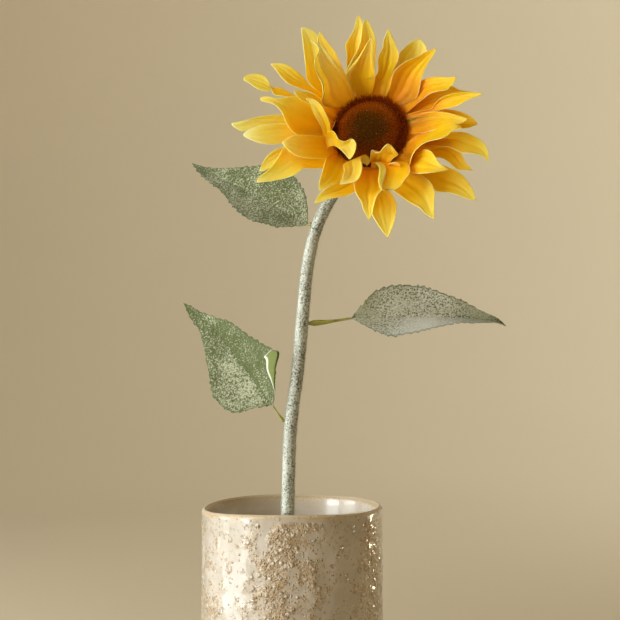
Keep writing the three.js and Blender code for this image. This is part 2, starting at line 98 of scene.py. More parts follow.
# Petals
HUB_RADIUS = 25
HUB_THICKNESS = 0.7
LAYER_HEIGHTS = {"front": -1.0, "middle": -2.6, "back": -4.2}
PETAL_ROWS = 60
PETAL_COLUMNS = 29
PETAL_CUPPING = 25
END_CUPPING_SHARE = 0.35
ROLL_GAP = 1.3
CURVE_HANDLE = 0.36
PETAL_FOOT_SPREAD = 10

# Front drawings: where the camera's eye is, and for each drawing the spot straight ahead of it and
# how many steps cover as much as the distance ahead
EYE = np.array([12.6, -1080, 335.7])
HEAD_DRAWING = (504, 1708, 8646.4)
DISC_SPOT = (840, 716)
HUB_SPREAD = (206, 199)
DRAWING_STEP = 0.113

# Calyx
SEPAL_COUNT = 12
SEPAL_HEIGHT = -5.8
SEPAL_REACH = 40
SEPAL_SHORTER = 3
SEPAL_HALF_WIDTH = 5.2
SEPAL_TIP_HALF = 0.25
SEPAL_DROOP = 5
SEPAL_FOLD = 0.9
SEPAL_THICKNESS = 0.7
SEPAL_ROWS = 28
SEPAL_COLUMNS = 13
CUP_TOP = -6.5
CUP_RADIUS = 17
CUP_NECK_RADIUS = 5.4
CUP_RIBS = 12

# Leaves
LEAF_CURL = 10
LEAF_TEETH = 22
LEAF_TOOTH_DEPTH = 1.5
LEAF_VEINS = 7
LEAF_ROWS = 312
LEAF_COLUMNS = 45
STALK_GAP = 0.9
STALK_SINK = 0.2
STALK_SAG = 0.35
STALK_ROWS = 60
STALK_SIDES = 28

# Colours and the flock's grain that aren't settings. Pairs stand in the order their material takes
PETAL_STREAK = (0.86, 0.36, 0.006)
# Deeper brown-orange at the petals' bases: part dye, part painted shadow round the disc
PETAL_DYE_AND_DISC_SHADOW = (0.68, 0.22, 0.001)
FLOCK_GRAIN = 900.0
# Pale flock, which on the stem's lit side and the right leaf's upturned half is painted light
FLOCK_PALE_AND_PAINTED_LIGHT = (0.74, 0.76, 0.69)
FLOCK_RIM = (0.66, 0.70, 0.60)
STEM_COLOURS = ((0.052, 0.067, 0.028), (0.66, 0.70, 0.65))
STEM_FIBRE_COLOURS = ((0.16, 0.19, 0.11), (0.80, 0.84, 0.78))
LEAF_BACK = (0.15, 0.19, 0.045)
LEAF_FIBRE_COLOURS = ((0.14, 0.18, 0.07), (0.58, 0.62, 0.50))
STALK_COLOURS = ((0.38, 0.37, 0.07), (0.22, 0.23, 0.045))
CORE_COLOURS = ((0.075, 0.036, 0.002), (0.22, 0.105, 0.004))
RUST_COLOURS = ((0.32, 0.062, 0.001), (0.90, 0.215, 0.003))
RIM_COLOURS = ((0.17, 0.030, 0.0006), (0.56, 0.11, 0.001))
SPECK_COLOURS = ((0.50, 0.36, 0.24), (0.85, 0.68, 0.50))
DISC_GROUND_COLOURS = ((0.25, 0.045, 0.001), (0.08, 0.014, 0.0005))
FRINGE_GROUND_COLOURS = ((0.15, 0.022, 0.0005), (0.04, 0.006, 0.0002))
BRISTLE_COLOURS = ((0.10, 0.015, 0.0003), (0.50, 0.075, 0.0005))
SEPAL_COLOURS = ((0.09, 0.12, 0.035), (0.27, 0.33, 0.15))
CALYX_COLOURS = ((0.15, 0.20, 0.06), (0.09, 0.13, 0.04))
GLAZE_CLOUD = (0.46, 0.41, 0.345)
SAND_COLOURS = ((0.66, 0.53, 0.34), (0.54, 0.38, 0.19))
GRAIN_CREST = (0.86, 0.81, 0.72)
SPECKLE = (0.09, 0.055, 0.025)
SPECKLE_HALO = (0.47, 0.31, 0.13)
MOUTH_COLOURS = ((0.66, 0.60, 0.51), (0.59, 0.52, 0.42))
LIP_COLOURS = ((0.46, 0.33, 0.17), (0.60, 0.46, 0.27))
LIP_TOP = (0.68, 0.58, 0.44)
BARE_CLAY = (0.44, 0.34, 0.22)


class SunflowerSettings(bpy.types.PropertyGroup):
    """Sizes and colours of the flower that a user would change."""

    cloth_thickness: bpy.props.FloatProperty(
        name="Petal thickness", description="Thickness of the petals' cloth",
        default=0.5 * MM, min=0.1 * MM, max=1.0 * MM, unit="LENGTH",
    )
    ruffle_depth: bpy.props.FloatProperty(
        name="Ruffle depth", description="How far the petals' edges wave in and out",
        default=0.8 * MM, min=0.0, max=3 * MM, unit="LENGTH",
    )
    crease_depth: bpy.props.FloatProperty(
        name="Crease depth", description="Depth of the petals' lengthwise creases",
        default=0.34 * MM, min=0.0, max=2 * MM, unit="LENGTH",
    )
    leaf_thickness: bpy.props.FloatProperty(
        name="Leaf thickness", description="Thickness of the flocked leaves",
        default=0.9 * MM, min=0.3 * MM, max=1.5 * MM, unit="LENGTH",
    )
    flock_length: bpy.props.FloatProperty(
        name="Flock length", description="Length of the fibres on the stem and leaves",
        default=1.0 * MM, min=0.2 * MM, max=2 * MM, unit="LENGTH",
    )
    pile_length: bpy.props.FloatProperty(
        name="Pile length", description="Length of the pile on the flower's disc",
        default=1.1 * MM, min=0.3 * MM, max=3 * MM, unit="LENGTH",
    )
    bristle_length: bpy.props.FloatProperty(
        name="Bristle length", description="Length of the bristles round the disc",
        default=4.1 * MM, min=1 * MM, max=6 * MM, unit="LENGTH",
    )
    relief_depth: bpy.props.FloatProperty(
        name="Glaze relief", description="Height of the crusty glaze above the vase's wall",
        default=0.65 * MM, min=0.0, max=1.5 * MM, unit="LENGTH",
    )
    petal_base: bpy.props.FloatVectorProperty(
        name="Petal base", description="Colour of the petals at the disc",
        default=(0.91, 0.315, 0.003), subtype="COLOR", min=0, max=1,
    )
    petal_middle: bpy.props.FloatVectorProperty(
        name="Petal middle", description="Colour of the petals half way along",
        default=(0.96, 0.47, 0.006), subtype="COLOR", min=0, max=1,
    )
    petal_tip: bpy.props.FloatVectorProperty(
        name="Petal tip", description="Colour of the petals at their tips",
        default=(0.98, 0.655, 0.13), subtype="COLOR", min=0, max=1,
    )
    petal_edge: bpy.props.FloatVectorProperty(
        name="Petal edge", description="Colour of the petals' sealed edges",
        default=(0.99, 0.82, 0.40), subtype="COLOR", min=0, max=1,
    )
    flock_dark: bpy.props.FloatVectorProperty(
        name="Green flock", description="Colour of the flock's green ground",
        default=(0.085, 0.108, 0.030), subtype="COLOR", min=0, max=1,
    )
    flock_light: bpy.props.FloatVectorProperty(
        name="Pale flock", description="Colour of the flock's pale fibres",
        default=(0.48, 0.51, 0.36), subtype="COLOR", min=0, max=1,
    )
    glaze: bpy.props.FloatVectorProperty(
        name="Glaze", description="Colour of the vase's smooth glaze",
        default=(0.53, 0.48, 0.42), subtype="COLOR", min=0, max=1,
    )
    glaze_rust: bpy.props.FloatVectorProperty(
        name="Glaze breaks", description="Colour where the glaze breaks over the clay",
        default=(0.29, 0.165, 0.055), subtype="COLOR", min=0, max=1,
    )
    window_power: bpy.props.FloatProperty(
        name="Window light", description="Power of each pane of the main light, in watts",
        default=22.4, min=0.0, max=200.0,
    )


# Arrays and curves


def rad(degrees):
    return np.radians(degrees)


def unit(vectors):
    return vectors / np.maximum(np.linalg.norm(vectors, axis=-1, keepdims=True), 1e-12)


def smooth(x):
    """Smoothstep: 0 below 0, 1 above 1, and between them thrice the square less twice the cube."""
    x = np.clip(x, 0, 1)
    return x * x * (3 - 2 * x)


def bell(x, width):
    """1 where x is 0, falling on both sides by the exponential of minus its square over width's."""
    return np.exp(-((x / width) ** 2))


def crowded_steps(count):
    """A row of steps from -1 to 1, closer together towards both ends."""
    return np.sin(np.linspace(-np.pi / 2, np.pi / 2, count))[None, :]


def inset(share, margin):
    """Shares from 0 to 1, drawn in from both ends by the margin."""
    return margin + (1 - 2 * margin) * share


def noise(u, v, seed, wrap=None):
    """Values from -1 to 1: a random lattice of unit cells, blended by smoothstep across each cell.
    v repeats after wrap cells."""
    lattice = np.random.default_rng(seed).uniform(-1, 1, (NOISE_CELLS, NOISE_CELLS))
    i, j = np.floor(u).astype(int), np.floor(v).astype(int)
    a, b = smooth(u - i), smooth(v - j)
    wrap = wrap or NOISE_CELLS
    i0, i1, j0, j1 = i % NOISE_CELLS, (i + 1) % NOISE_CELLS, j % wrap, (j + 1) % wrap
    near = lattice[i0, j0] * (1 - a) + lattice[i1, j0] * a
    far = lattice[i0, j1] * (1 - a) + lattice[i1, j1] * a
    return near * (1 - b) + far * b


def bezier(points, s):
    """Points of the cubic Bezier curve with these four control points."""
    a, b, c, d = [np.asarray(p, float) for p in points]
    q = 1 - s
    return a * q**3 + 3 * b * q * q * s + 3 * c * q * s * s + d * s**3


def smooth_path(points, count):
    """count points, evenly spaced along the centripetal Catmull-Rom curve through the given ones.
    Each stretch is the cubic whose end slopes come from its neighbours, weighed by the square
    roots of the distances between them."""
    points = np.asarray(points, float)
    ends = [2 * points[0] - points[1], 2 * points[-1] - points[-2]]
    p = np.concatenate([ends[:1], points, ends[1:]])
    step = np.sqrt(np.linalg.norm(np.diff(p, axis=0), axis=1))[:, None]
    p0, p1, p2, p3 = p[:-3], p[1:-2], p[2:-1], p[3:]
    d0, d1, d2 = step[:-2], step[1:-1], step[2:]
    leave = ((p1 - p0) / d0 - (p2 - p0) / (d0 + d1) + (p2 - p1) / d1) * d1
    arrive = ((p2 - p1) / d1 - (p3 - p1) / (d1 + d2) + (p3 - p2) / d2) * d1
    u = np.linspace(0, 1, 60, endpoint=False)[:, None, None]
    cubic = p1 + leave * u + (3 * (p2 - p1) - 2 * leave - arrive) * u**2
    cubic = cubic + (2 * (p1 - p2) + leave + arrive) * u**3
    line = np.concatenate([cubic.transpose(1, 0, 2).reshape(-1, points.shape[1]), points[-1:]])
    length = np.concatenate([[0], np.cumsum(np.linalg.norm(np.diff(line, axis=0), axis=1))])
    at = np.linspace(0, length[-1], count)
    return np.stack([np.interp(at, length, line[:, k]) for k in range(line.shape[1])], -1)


# Pieces


class Patch:
    """Points in millimetres, quads and triangles between them, and for each point its place on
    the piece (along, across, face) and its tint. The map gives each face corner its own spot."""

    def __init__(self, points, quads, triangles, places, tints, quad_map, triangle_map):
        self.points, self.quads, self.triangles = points, quads, triangles
        self.places, self.tints = places, tints
        self.quad_map, self.triangle_map = quad_map, triangle_map


def joined(patches):
    """One patch from several, each given its own upright strip of the map."""
    offsets = np.cumsum([0] + [len(p.points) for p in patches[:-1]])
    share = np.array([1 / len(patches), 1])

    def strips(maps):
        return np.concatenate([m * share + [k * share[0], 0] for k, m in enumerate(maps)])

    return Patch(
        np.concatenate([p.points for p in patches]),
        np.concatenate([p.quads + o for p, o in zip(patches, offsets)]),
        np.concatenate([p.triangles + o for p, o in zip(patches, offsets)]),
        np.concatenate([p.places for p in patches]),
        np.concatenate([p.tints for p in patches]),
        strips([p.quad_map for p in patches]),
        strips([p.triangle_map for p in patches]),
    )


def ring_quads(rows, around, closed=False):
    """Quads between neighbouring rings of points, and each quad's row and column. A closed set
    joins its last ring to its first."""
    row, column = np.meshgrid(np.arange(rows - 1 + closed), np.arange(around), indexing="ij")
    i, j = row.ravel(), column.ravel()
    above, k = (i + 1) % rows, (j + 1) % around
    quads = np.stack([i * around + j, above * around + j, above * around + k, i * around + k], -1)
    return quads, i, j


def closed_surface(rings, places, tint=0.5):
    """Closed rings of points one after another, with a point closing each end. The map unrolls
    the rings: across it goes round a ring, and up it goes from ring to ring."""
    rows, around = rings.shape[:2]
    quads, i, j = ring_quads(rows, around)
    left, right = inset(j / around, MAP_SIDE), inset((j + 1) / around, MAP_SIDE)
    low, high = inset(i / (rows - 1), MAP_END), inset((i + 1) / (rows - 1), MAP_END)
    corners = [(left, low), (left, high), (right, high), (right, low)]
    quad_map = np.stack([np.stack(c, -1) for c in corners], 1)
    j = np.arange(around)
    k = (j + 1) % around
    first, last = np.full(around, rows * around), np.full(around, rows * around + 1)
    final = (rows - 1) * around
    first_fan = np.stack([first, j, k], -1)
    last_fan = np.stack([final + j, last, final + k], -1)
    triangles = np.concatenate([first_fan, last_fan])
    left, right = inset(j / around, MAP_SIDE), inset((j + 1) / around, MAP_SIDE)
    middle, ones = (left + right) / 2, np.ones(around)
    pole = MAP_END / 4
    bottom, top = MAP_END * ones, (1 - MAP_END) * ones
    lower = [(middle, pole * ones), (left, bottom), (right, bottom)]
    upper = [(left, top), (middle, (1 - pole) * ones), (right, top)]
    triangle_map = np.concatenate([
        np.stack([np.stack(c, -1) for c in lower], 1),
        np.stack([np.stack(c, -1) for c in upper], 1),
    ])
    points = np.concatenate([rings.reshape(-1, 3), [rings[0].mean(0), rings[-1].mean(0)]])
    spots = np.concatenate([places.reshape(-1, 3), [places[0].mean(0), places[-1].mean(0)]])
    tints = np.full(len(points), tint)
    return Patch(points, quads, triangles, spots, tints, quad_map, triangle_map)


def shell(middle, half, along, across, tint=0.5):
    """A thin closed sheet: the middle surface moved out and back along its normals by half, which
    falls to nothing at both edges, so that front and back meet there in a rounded rim."""
    normal = unit(np.cross(np.gradient(middle, axis=0), np.gradient(middle, axis=1)))
    front, back = middle + normal * half[..., None], middle - normal * half[..., None]
    rings = np.concatenate([front, back[:, -2:0:-1]], axis=1)
    face = np.ones_like(along)
    outside = np.stack([along, across, face], -1)
    inside = np.stack([along, across, 0 * face], -1)
    places = np.concatenate([outside, inside[:, -2:0:-1]], axis=1)
    return closed_surface(rings, places, tint)


def ring_tube(path, radius, sides, reference):
    """Rings of sides points round a path: each point lies at the radius from the path, square to
    it, in the direction that starts from the reference vector's part square to the path."""
    along = unit(np.gradient(path, axis=0))
    first = unit(reference - (along @ reference)[:, None] * along)
    second = np.cross(first, along)
    turn = 2 * np.pi * np.arange(sides)[None, :, None] / sides
    spoke = np.cos(turn) * first[:, None] + np.sin(turn) * second[:, None]
    return path[:, None] + spoke * np.broadcast_to(radius, (len(path), sides))[..., None]


def tube(path, radius, sides, reference):
    """A closed tube of such rings. Its place is its share along the path and its share round."""
    rings = ring_tube(path, radius, sides, reference)
    rows = len(path)
    along = np.broadcast_to(np.linspace(0, 1, rows)[:, None], (rows, sides))
    around = np.broadcast_to(np.arange(sides) / sides, (rows, sides))
    return closed_surface(rings, np.stack([along, around, np.ones_like(along)], -1))


def turned(profile, around, bulge=None):
    """The profile's (radius, height) points carried round the upright axis, clockwise from above
    so that faces point outwards. bulge adds to the radius for each profile point and angle."""
    angle = -2 * np.pi * np.arange(around) / around
    radius = profile[:, :1] + (0 if bulge is None else bulge(profile, angle))
    radius = np.broadcast_to(radius, (len(profile), around))
    height = np.broadcast_to(profile[:, 1:], (len(profile), around))
    rings = np.stack([radius * np.cos(angle), radius * np.sin(angle), height], -1)
    along = np.broadcast_to(np.linspace(0, 1, len(profile))[:, None], radius.shape)
    return closed_surface(rings, np.stack([along, 0 * along, np.ones_like(along)], -1))


def plate(radius, height, thickness, around):
    """A flat round plate about this height: its rim is half a circle, turned like the rest."""
    edge = thickness / 2
    rim = arc((radius - edge, height), (edge, edge), -90, 90, 7)
    ends = [[[PLATE_INNER, height - edge]], [[PLATE_INNER, height + edge]]]
    return turned(np.concatenate([ends[0], rim, ends[1]]), around)


def arc(centre, radii, start, end, steps):
    """Points on an ellipse between two angles in degrees."""
    angle = rad(np.linspace(start, end, steps))
    across, up = centre[0] + radii[0] * np.cos(angle), centre[1] + radii[1] * np.sin(angle)
    return np.stack([across, up], -1)


def line(start, end, steps):
    """Points between two ends, both left out."""
    return np.linspace(start, end, steps + 2)[1:-1]


def scatter(grid, count, rng):
    """count points spread evenly over a grid surface's area, and its normals there: a cell is
    drawn by its area and a point in it by a blend of its four corners."""
    corners = (grid[:-1, :-1], grid[1:, :-1], grid[1:, 1:], grid[:-1, 1:])
    a, b, c, d = [corner.reshape(-1, 3) for corner in corners]
    normal = np.cross(c - a, d - b)
    area = np.linalg.norm(normal, axis=1)
    pick = rng.choice(len(area), count, p=area / area.sum())
    u, v = rng.random((2, count, 1))
    spots = (a[pick] * (1 - u) + b[pick] * u) * (1 - v) + (d[pick] * (1 - u) + c[pick] * u) * v
    return spots, unit(normal[pick])


def leaning(normals, amount, rng):
    """Directions that lean from the normals by a random amount each way."""
    return unit(normals + amount * rng.normal(size=normals.shape))


def fibres(roots, directions, lengths, widths, rng):
    """Thin three-sided spikes: a small triangle round each root, square to its direction, and one
    point at its length. The map holds the tint across and root to tip upwards."""
    count = len(roots)
    side = unit(np.cross(directions, rng.normal(size=directions.shape)))
    other = np.cross(directions, side)
    turn = 2 * np.pi * np.arange(3)[None, :, None] / 3
    ring = roots[:, None] + (np.cos(turn) * side[:, None] + np.sin(turn) * other[:, None]) * (
        np.asarray(widths)[..., None, None] / 2
    )
    tips = roots + directions * np.asarray(lengths)[..., None]
    points = np.concatenate([ring, tips[:, None]], 1).reshape(-1, 3)
    pattern = np.array([[0, 1, 3], [1, 2, 3], [2, 0, 3], [2, 1, 0]])
    triangles = (4 * np.arange(count)[:, None, None] + pattern).reshape(-1, 3)
    height = np.tile([0.0, 0.0, 0.0, 1.0], count)
    tints = np.repeat(rng.random(count), 4)
    nudge = np.tile([-0.004, 0.0, 0.004, 0.0], count)
    spots = np.stack([inset(tints, MAP_SIDE) + nudge, inset(height, MAP_END)], -1)
    places = np.stack([height, 0 * height, 0 * height + 1], -1)
    none = np.zeros((0, 4), int)
    return Patch(points, none, triangles, places, tints, np.zeros((0, 4, 2)), spots[triangles])


def put_piece(name, patch, material, replaced=()):
    """Makes the patch an object at the origin, in metres, with what it rides on and replaces."""
    mesh = bpy.data.meshes.new(name)
    corners = np.concatenate([patch.quads.ravel(), patch.triangles.ravel()]).astype(np.int32)
    sizes = np.repeat([4, 3], [len(patch.quads), len(patch.triangles)])
    mesh.vertices.add(len(patch.points))
    mesh.vertices.foreach_set("co", (patch.points * MM).astype(np.float32).ravel())
    mesh.loops.add(len(corners))
    mesh.loops.foreach_set("vertex_index", corners)
    mesh.polygons.add(len(sizes))
    mesh.polygons.foreach_set("loop_start", (np.cumsum(sizes) - sizes).astype(np.int32))
    mesh.polygons.foreach_set("use_smooth", np.ones(len(sizes), bool))
    mesh.update(calc_edges=True)
    place = mesh.attributes.new("place", "FLOAT_VECTOR", "POINT")
    place.data.foreach_set("vector", patch.places.astype(np.float32).ravel())
    tint = mesh.attributes.new("tint", "FLOAT", "POINT")
    tint.data.foreach_set("value", patch.tints.astype(np.float32))
    spots = np.concatenate([patch.quad_map.reshape(-1, 2), patch.triangle_map.reshape(-1, 2)])
    mesh.uv_layers.new(name="OFBake").uv.foreach_set("vector", spots.astype(np.float32).ravel())
    mesh.materials.append(material)
    piece = bpy.data.objects.new(name, mesh)
    bpy.context.scene.collection.objects.link(piece)
    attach(piece, "root")
    if replaced:
        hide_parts(*replaced)
    return piece


# Materials


def add(tree, kind, inputs=None, **settings):
    """A new node with these settings, each input linked from a socket or given a value."""
    made = tree.nodes.new(kind)
    row, column = divmod(len(tree.nodes), NODES_IN_ROW)
    made.location = (NODE_STEP[0] * column, NODE_STEP[1] * row)
    for name, value in settings.items():
        setattr(made, name, value)
    for key, value in (inputs or {}).items():
        if isinstance(value, bpy.types.NodeSocket):
            tree.links.new(value, made.inputs[key])
        else:
            made.inputs[key].default_value = value
    return made


def maths(tree, operation, first, second=0.0, clamp=False):
    inputs = {0: first, 1: second}
    return add(tree, "ShaderNodeMath", inputs, operation=operation, use_clamp=clamp).outputs[0]


def times(tree, first, second):
    return maths(tree, "MULTIPLY", first, second)


def plus(tree, first, second, clamp=False):
    return maths(tree, "ADD", first, second, clamp)


def minus(tree, first, second):
    return maths(tree, "SUBTRACT", first, second)


def noise_texture(tree, where, scale, detail=2.0, roughness=0.5):
    inputs = {"Vector": where, "Scale": scale, "Detail": detail, "Roughness": roughness}
    return add(tree, "ShaderNodeTexNoise", inputs).outputs["Fac"]


def mix_colour(tree, factor, first, second):
    """Each colour is a socket, or its red, green and blue."""
    pair = [c if isinstance(c, bpy.types.NodeSocket) else (*c, 1.0) for c in (first, second)]
    inputs = {0: factor, 6: pair[0], 7: pair[1]}
    return add(tree, "ShaderNodeMix", inputs, data_type="RGBA").outputs[2]


def ease(tree, value, low, high, start=0.0, end=1.0):
    """The value's smoothstep from low to high, scaled to go from start to end."""
    inputs = {"Value": value, "From Min": low, "From Max": high, "To Min": start, "To Max": end}
    return add(tree, "ShaderNodeMapRange", inputs, interpolation_type="SMOOTHSTEP").outputs[0]


def read(tree, name):
    return add(tree, "ShaderNodeAttribute", attribute_name=name)


def place_parts(tree):
    """The piece's own place: along, across and face."""
    return add(tree, "ShaderNodeSeparateXYZ", {0: read(tree, "place").outputs["Vector"]}).outputs


def new_material(name):
    made = bpy.data.materials.new(name)
    made.use_nodes = True
    shader = made.node_tree.nodes["Principled BSDF"]
    return made, made.node_tree, shader


def bump(tree, height, distance, strength=1.0):
    inputs = {"Height": height, "Distance": distance * MM, "Strength": strength}
    return add(tree, "ShaderNodeBump", inputs).outputs["Normal"]


def new_group(name, inputs, outputs):
    """An empty node group with these inputs and their defaults, and with these outputs."""
    group = bpy.data.node_groups.new(name, "ShaderNodeTree")
    for label, (kind, default) in inputs.items():
        socket = group.interface.new_socket(name=label, in_out="INPUT", socket_type=kind)
        if default is not None:
            socket.default_value = default
    for label, kind in outputs.items():
        group.interface.new_socket(name=label, in_out="OUTPUT", socket_type=kind)
    return group, group.nodes.new("NodeGroupInput").outputs, group.nodes.new("NodeGroupOutput")


def use_group(tree, group, inputs):
    return add(tree, "ShaderNodeGroup", inputs, node_tree=group).outputs


def flock_group():
    """Flock: clumps of pale fibres over a darker ground. The mask is fine noise sharpened about
    its middle and moved by broader noise, and the height follows it."""
    if "Flock" in bpy.data.node_groups:
        return bpy.data.node_groups["Flock"]
    group, given, result = new_group(
        "Flock",
        {
            "Vector": ("NodeSocketVector", None),
            "Grain": ("NodeSocketFloat", FLOCK_GRAIN),
            "Cover": ("NodeSocketFloat", 0.5),
        },
        {"Mask": "NodeSocketFloat", "Height": "NodeSocketFloat"},
    )
    fine = noise_texture(group, given["Vector"], given["Grain"], 3.0, 0.65)
    broad = noise_texture(group, given["Vector"], 70.0)
    shift = times(group, minus(group, broad, 0.5), 0.26)
    above = minus(group, given["Cover"], 0.5)
    level = plus(group, plus(group, fine, shift), above)
    group.links.new(ease(group, level, 0.38, 0.62), result.inputs["Mask"])
    group.links.new(fine, result.inputs["Height"])
    return group


def speckle_group():
    """Speckles: one dot in some of the cells of a cell pattern, and a wider halo round each."""
    if "Speckles" in bpy.data.node_groups:
        return bpy.data.node_groups["Speckles"]
    group, given, result = new_group(
        "Speckles",
        {
            "Vector": ("NodeSocketVector", None),
            "Scale": ("NodeSocketFloat", 260.0),
            "Share": ("NodeSocketFloat", 0.4),
            "Size": ("NodeSocketFloat", 0.16),
        },
        {"Dots": "NodeSocketFloat", "Halos": "NodeSocketFloat"},
    )
    cells = add(group, "ShaderNodeTexVoronoi", {
        "Vector": given["Vector"], "Scale": given["Scale"], "Randomness": 1.0,
    })
    draw = add(group, "ShaderNodeSeparateColor", {0: cells.outputs["Color"]}).outputs
    kept = maths(group, "LESS_THAN", draw[0], given["Share"])
    size = times(group, given["Size"], plus(group, draw[1], 0.5))
    away = maths(group, "DIVIDE", cells.outputs["Distance"], size)
    dots = times(group, ease(group, away, 0.7, 1.1, 1.0, 0.0), kept)
    halos = times(group, ease(group, away, 0.8, 2.4, 1.0, 0.0), kept)
    group.links.new(dots, result.inputs["Dots"])
    group.links.new(halos, result.inputs["Halos"])
    return group


def object_place(tree):
    return add(tree, "ShaderNodeTexCoord").outputs["Object"]


def satin_petals(settings):
    """Satin cloth dyed from orange at the disc to lemon at the tip, with pale sealed edges. The
    deeper brown-orange next to the disc is part dye and part painted shadow round the disc.
    """
    made, tree, shader = new_material("petal_satin")
    along, across, face = place_parts(tree)
    tint = read(tree, "tint").outputs["Fac"]
    where = object_place(tree)
    cloud = noise_texture(tree, where, 55.0)
    thread = add(tree, "ShaderNodeCombineXYZ", {0: times(tree, along, 3.0), 1: across, 2: tint})
    streak = noise_texture(tree, thread.outputs[0], 5.0, 4.0, 0.6)
    drift = times(tree, minus(tree, cloud, 0.5), 0.35)
    # The tint moves each petal's colour along the dye's ramp. The tints also hold painted light:
    # paler where light shines through the petals on the left, deeper where those on the right are
    # in shade
    drift = plus(tree, drift, times(tree, minus(tree, tint, 0.5), 0.30))
    level = plus(tree, along, drift)
    dye = mix_colour(
        tree, ease(tree, level, 0.02, 0.45), settings.petal_base, settings.petal_middle
    )
    dye = mix_colour(tree, ease(tree, level, 0.4, 1.1), dye, settings.petal_tip)
    shade = mix_colour(tree, ease(tree, streak, 0.3, 0.75, 0.0, 0.16), dye, PETAL_STREAK)
    edge = maths(tree, "ABSOLUTE", across)
    # Deeper brown-orange next to the disc: part dye, part painted shadow round the disc. Low tints
    # spread it over the petals painted as in shade
    deep = ease(tree, level, -0.15, 0.28, 0.8, 0.0)
    shade = mix_colour(tree, deep, shade, PETAL_DYE_AND_DISC_SHADOW)
    rim = times(tree, ease(tree, edge, 0.935, 0.99), ease(tree, along, 0.15, 0.5, 0.15, 0.8))
    rim = maths(tree, "MAXIMUM", rim, ease(tree, level, 0.98, 1.3, 0.0, 0.7))
    under = times(tree, minus(tree, 1.0, face), 0.45)
    shade = mix_colour(tree, under, shade, settings.petal_tip)
    colour = mix_colour(tree, rim, shade, settings.petal_edge)
    tree.links.new(colour, shader.inputs["Base Color"])
    rough = ease(tree, streak, 0.3, 0.7, 0.44, 0.58)
    tree.links.new(rough, shader.inputs["Roughness"])
    shader.inputs["Subsurface Weight"].default_value = 0.9
    shader.inputs["Subsurface Radius"].default_value = (1.0, 0.7, 0.12)
    shader.inputs["Subsurface Scale"].default_value = 3 * MM
    shader.inputs["Specular IOR Level"].default_value = 0.13
    weave = noise_texture(tree, where, 2600.0, 1.0)
    height = plus(tree, times(tree, weave, 0.2), streak)
    tree.links.new(bump(tree, height, 0.08), shader.inputs["Normal"])
    return made


def flocked(name, dark, light, flock_and_painted_light, back=None):
    """Flock over a coloured ground. Without an amount given, the piece's tint says how thick the
    flock is. Past a middling amount the flock turns pale, which on the stem's lit side and the
    right leaf's upturned half is painted light.
    back is the colour of the side that carries none."""
    made, tree, shader = new_material(name)
    across, face = place_parts(tree)[1:]
    flock_and_painted_light = read(tree, "tint").outputs["Fac"] if flock_and_painted_light is None else flock_and_painted_light
    most = maths(tree, "MINIMUM", flock_and_painted_light, 0.57)
    inputs = {"Vector": object_place(tree), "Grain": FLOCK_GRAIN, "Cover": most}
    flock = use_group(tree, flock_group(), inputs)
    colour = mix_colour(tree, flock["Mask"], dark, light)
    # Pale flock where the amount is high: painted light on the stem's lit side and the right leaf's
    # half that faces up
    grains = ease(tree, flock["Height"], 0.43, 0.56)
    grains = maths(tree, "MAXIMUM", grains, ease(tree, flock_and_painted_light, 0.9, 1.2))
    thick = times(tree, ease(tree, flock_and_painted_light, 0.55, 0.95), grains)
    colour = mix_colour(tree, thick, colour, FLOCK_PALE_AND_PAINTED_LIGHT)
    rim = ease(tree, maths(tree, "ABSOLUTE", across), 0.93, 0.97)
    colour = mix_colour(tree, times(tree, rim, 0.6), colour, dark)
    height = flock["Height"]
    if back is not None:
        smooth_side = ease(tree, face, 0.35, 0.65, 1.0, 0.0)
        colour = mix_colour(tree, smooth_side, colour, back)
        height = times(tree, height, minus(tree, 1.15, smooth_side))
        rim = times(tree, rim, smooth_side)
        colour = mix_colour(tree, rim, colour, FLOCK_RIM)
    tree.links.new(colour, shader.inputs["Base Color"])
    tree.links.new(ease(tree, flock["Height"], 0.3, 0.7, 0.98, 0.85), shader.inputs["Roughness"])
    shader.inputs["Sheen Weight"].default_value = 0.3
    shader.inputs["Sheen Roughness"].default_value = 0.5
    shader.inputs["Specular IOR Level"].default_value = 0.25
    tree.links.new(bump(tree, height, 0.5), shader.inputs["Normal"])
    return made


def fibre_material(name, root, tip, roughness=0.8, shine=0.25, sheen=0.2):
    """Fibres: each has its own tone between two colours at random, and is darker at its root, where
    the darkness is painted shade down among the other fibres.
    """
    made, tree, shader = new_material(name)
    along = place_parts(tree)[0]
    tint = read(tree, "tint").outputs["Fac"]
    # Painted shade: darker towards the root
    shade = plus(tree, times(tree, along, 0.55), times(tree, tint, 0.45))
    tree.links.new(mix_colour(tree, shade, root, tip), shader.inputs["Base Color"])
    shader.inputs["Roughness"].default_value = roughness
    shader.inputs["Sheen Weight"].default_value = sheen
    shader.inputs["Specular IOR Level"].default_value = shine
    return made


def moulded_plastic(name, colour, deep, roughness):
    """Moulded plastic: clouded colour with faint scratches along it."""
    made, tree, shader = new_material(name)
    where = object_place(tree)
    cloud = noise_texture(tree, where, 160.0, 3.0)
    fine = noise_texture(tree, where, 1500.0)
    tree.links.new(
        mix_colour(tree, ease(tree, cloud, 0.35, 0.65), deep, colour),
        shader.inputs["Base Color"],
    )
    rough = ease(tree, fine, 0.3, 0.7, roughness - 0.08, roughness + 0.1)
    tree.links.new(rough, shader.inputs["Roughness"])
    tree.links.new(bump(tree, fine, 0.12), shader.inputs["Normal"])
    return made


def dark_velvet(name, colour, deep):
    """The ground under the disc's pile."""
    made, tree, shader = new_material(name)
    where = object_place(tree)
    fine = noise_texture(tree, where, 1100.0, 3.0)
    tree.links.new(
        mix_colour(tree, ease(tree, fine, 0.35, 0.65), deep, colour),
        shader.inputs["Base Color"],
    )
    tree.links.new(ease(tree, fine, 0.3, 0.7, 0.95, 0.8), shader.inputs["Roughness"])
    shader.inputs["Specular IOR Level"].default_value = 0.1
    tree.links.new(bump(tree, fine, 0.5), shader.inputs["Normal"])
    return made


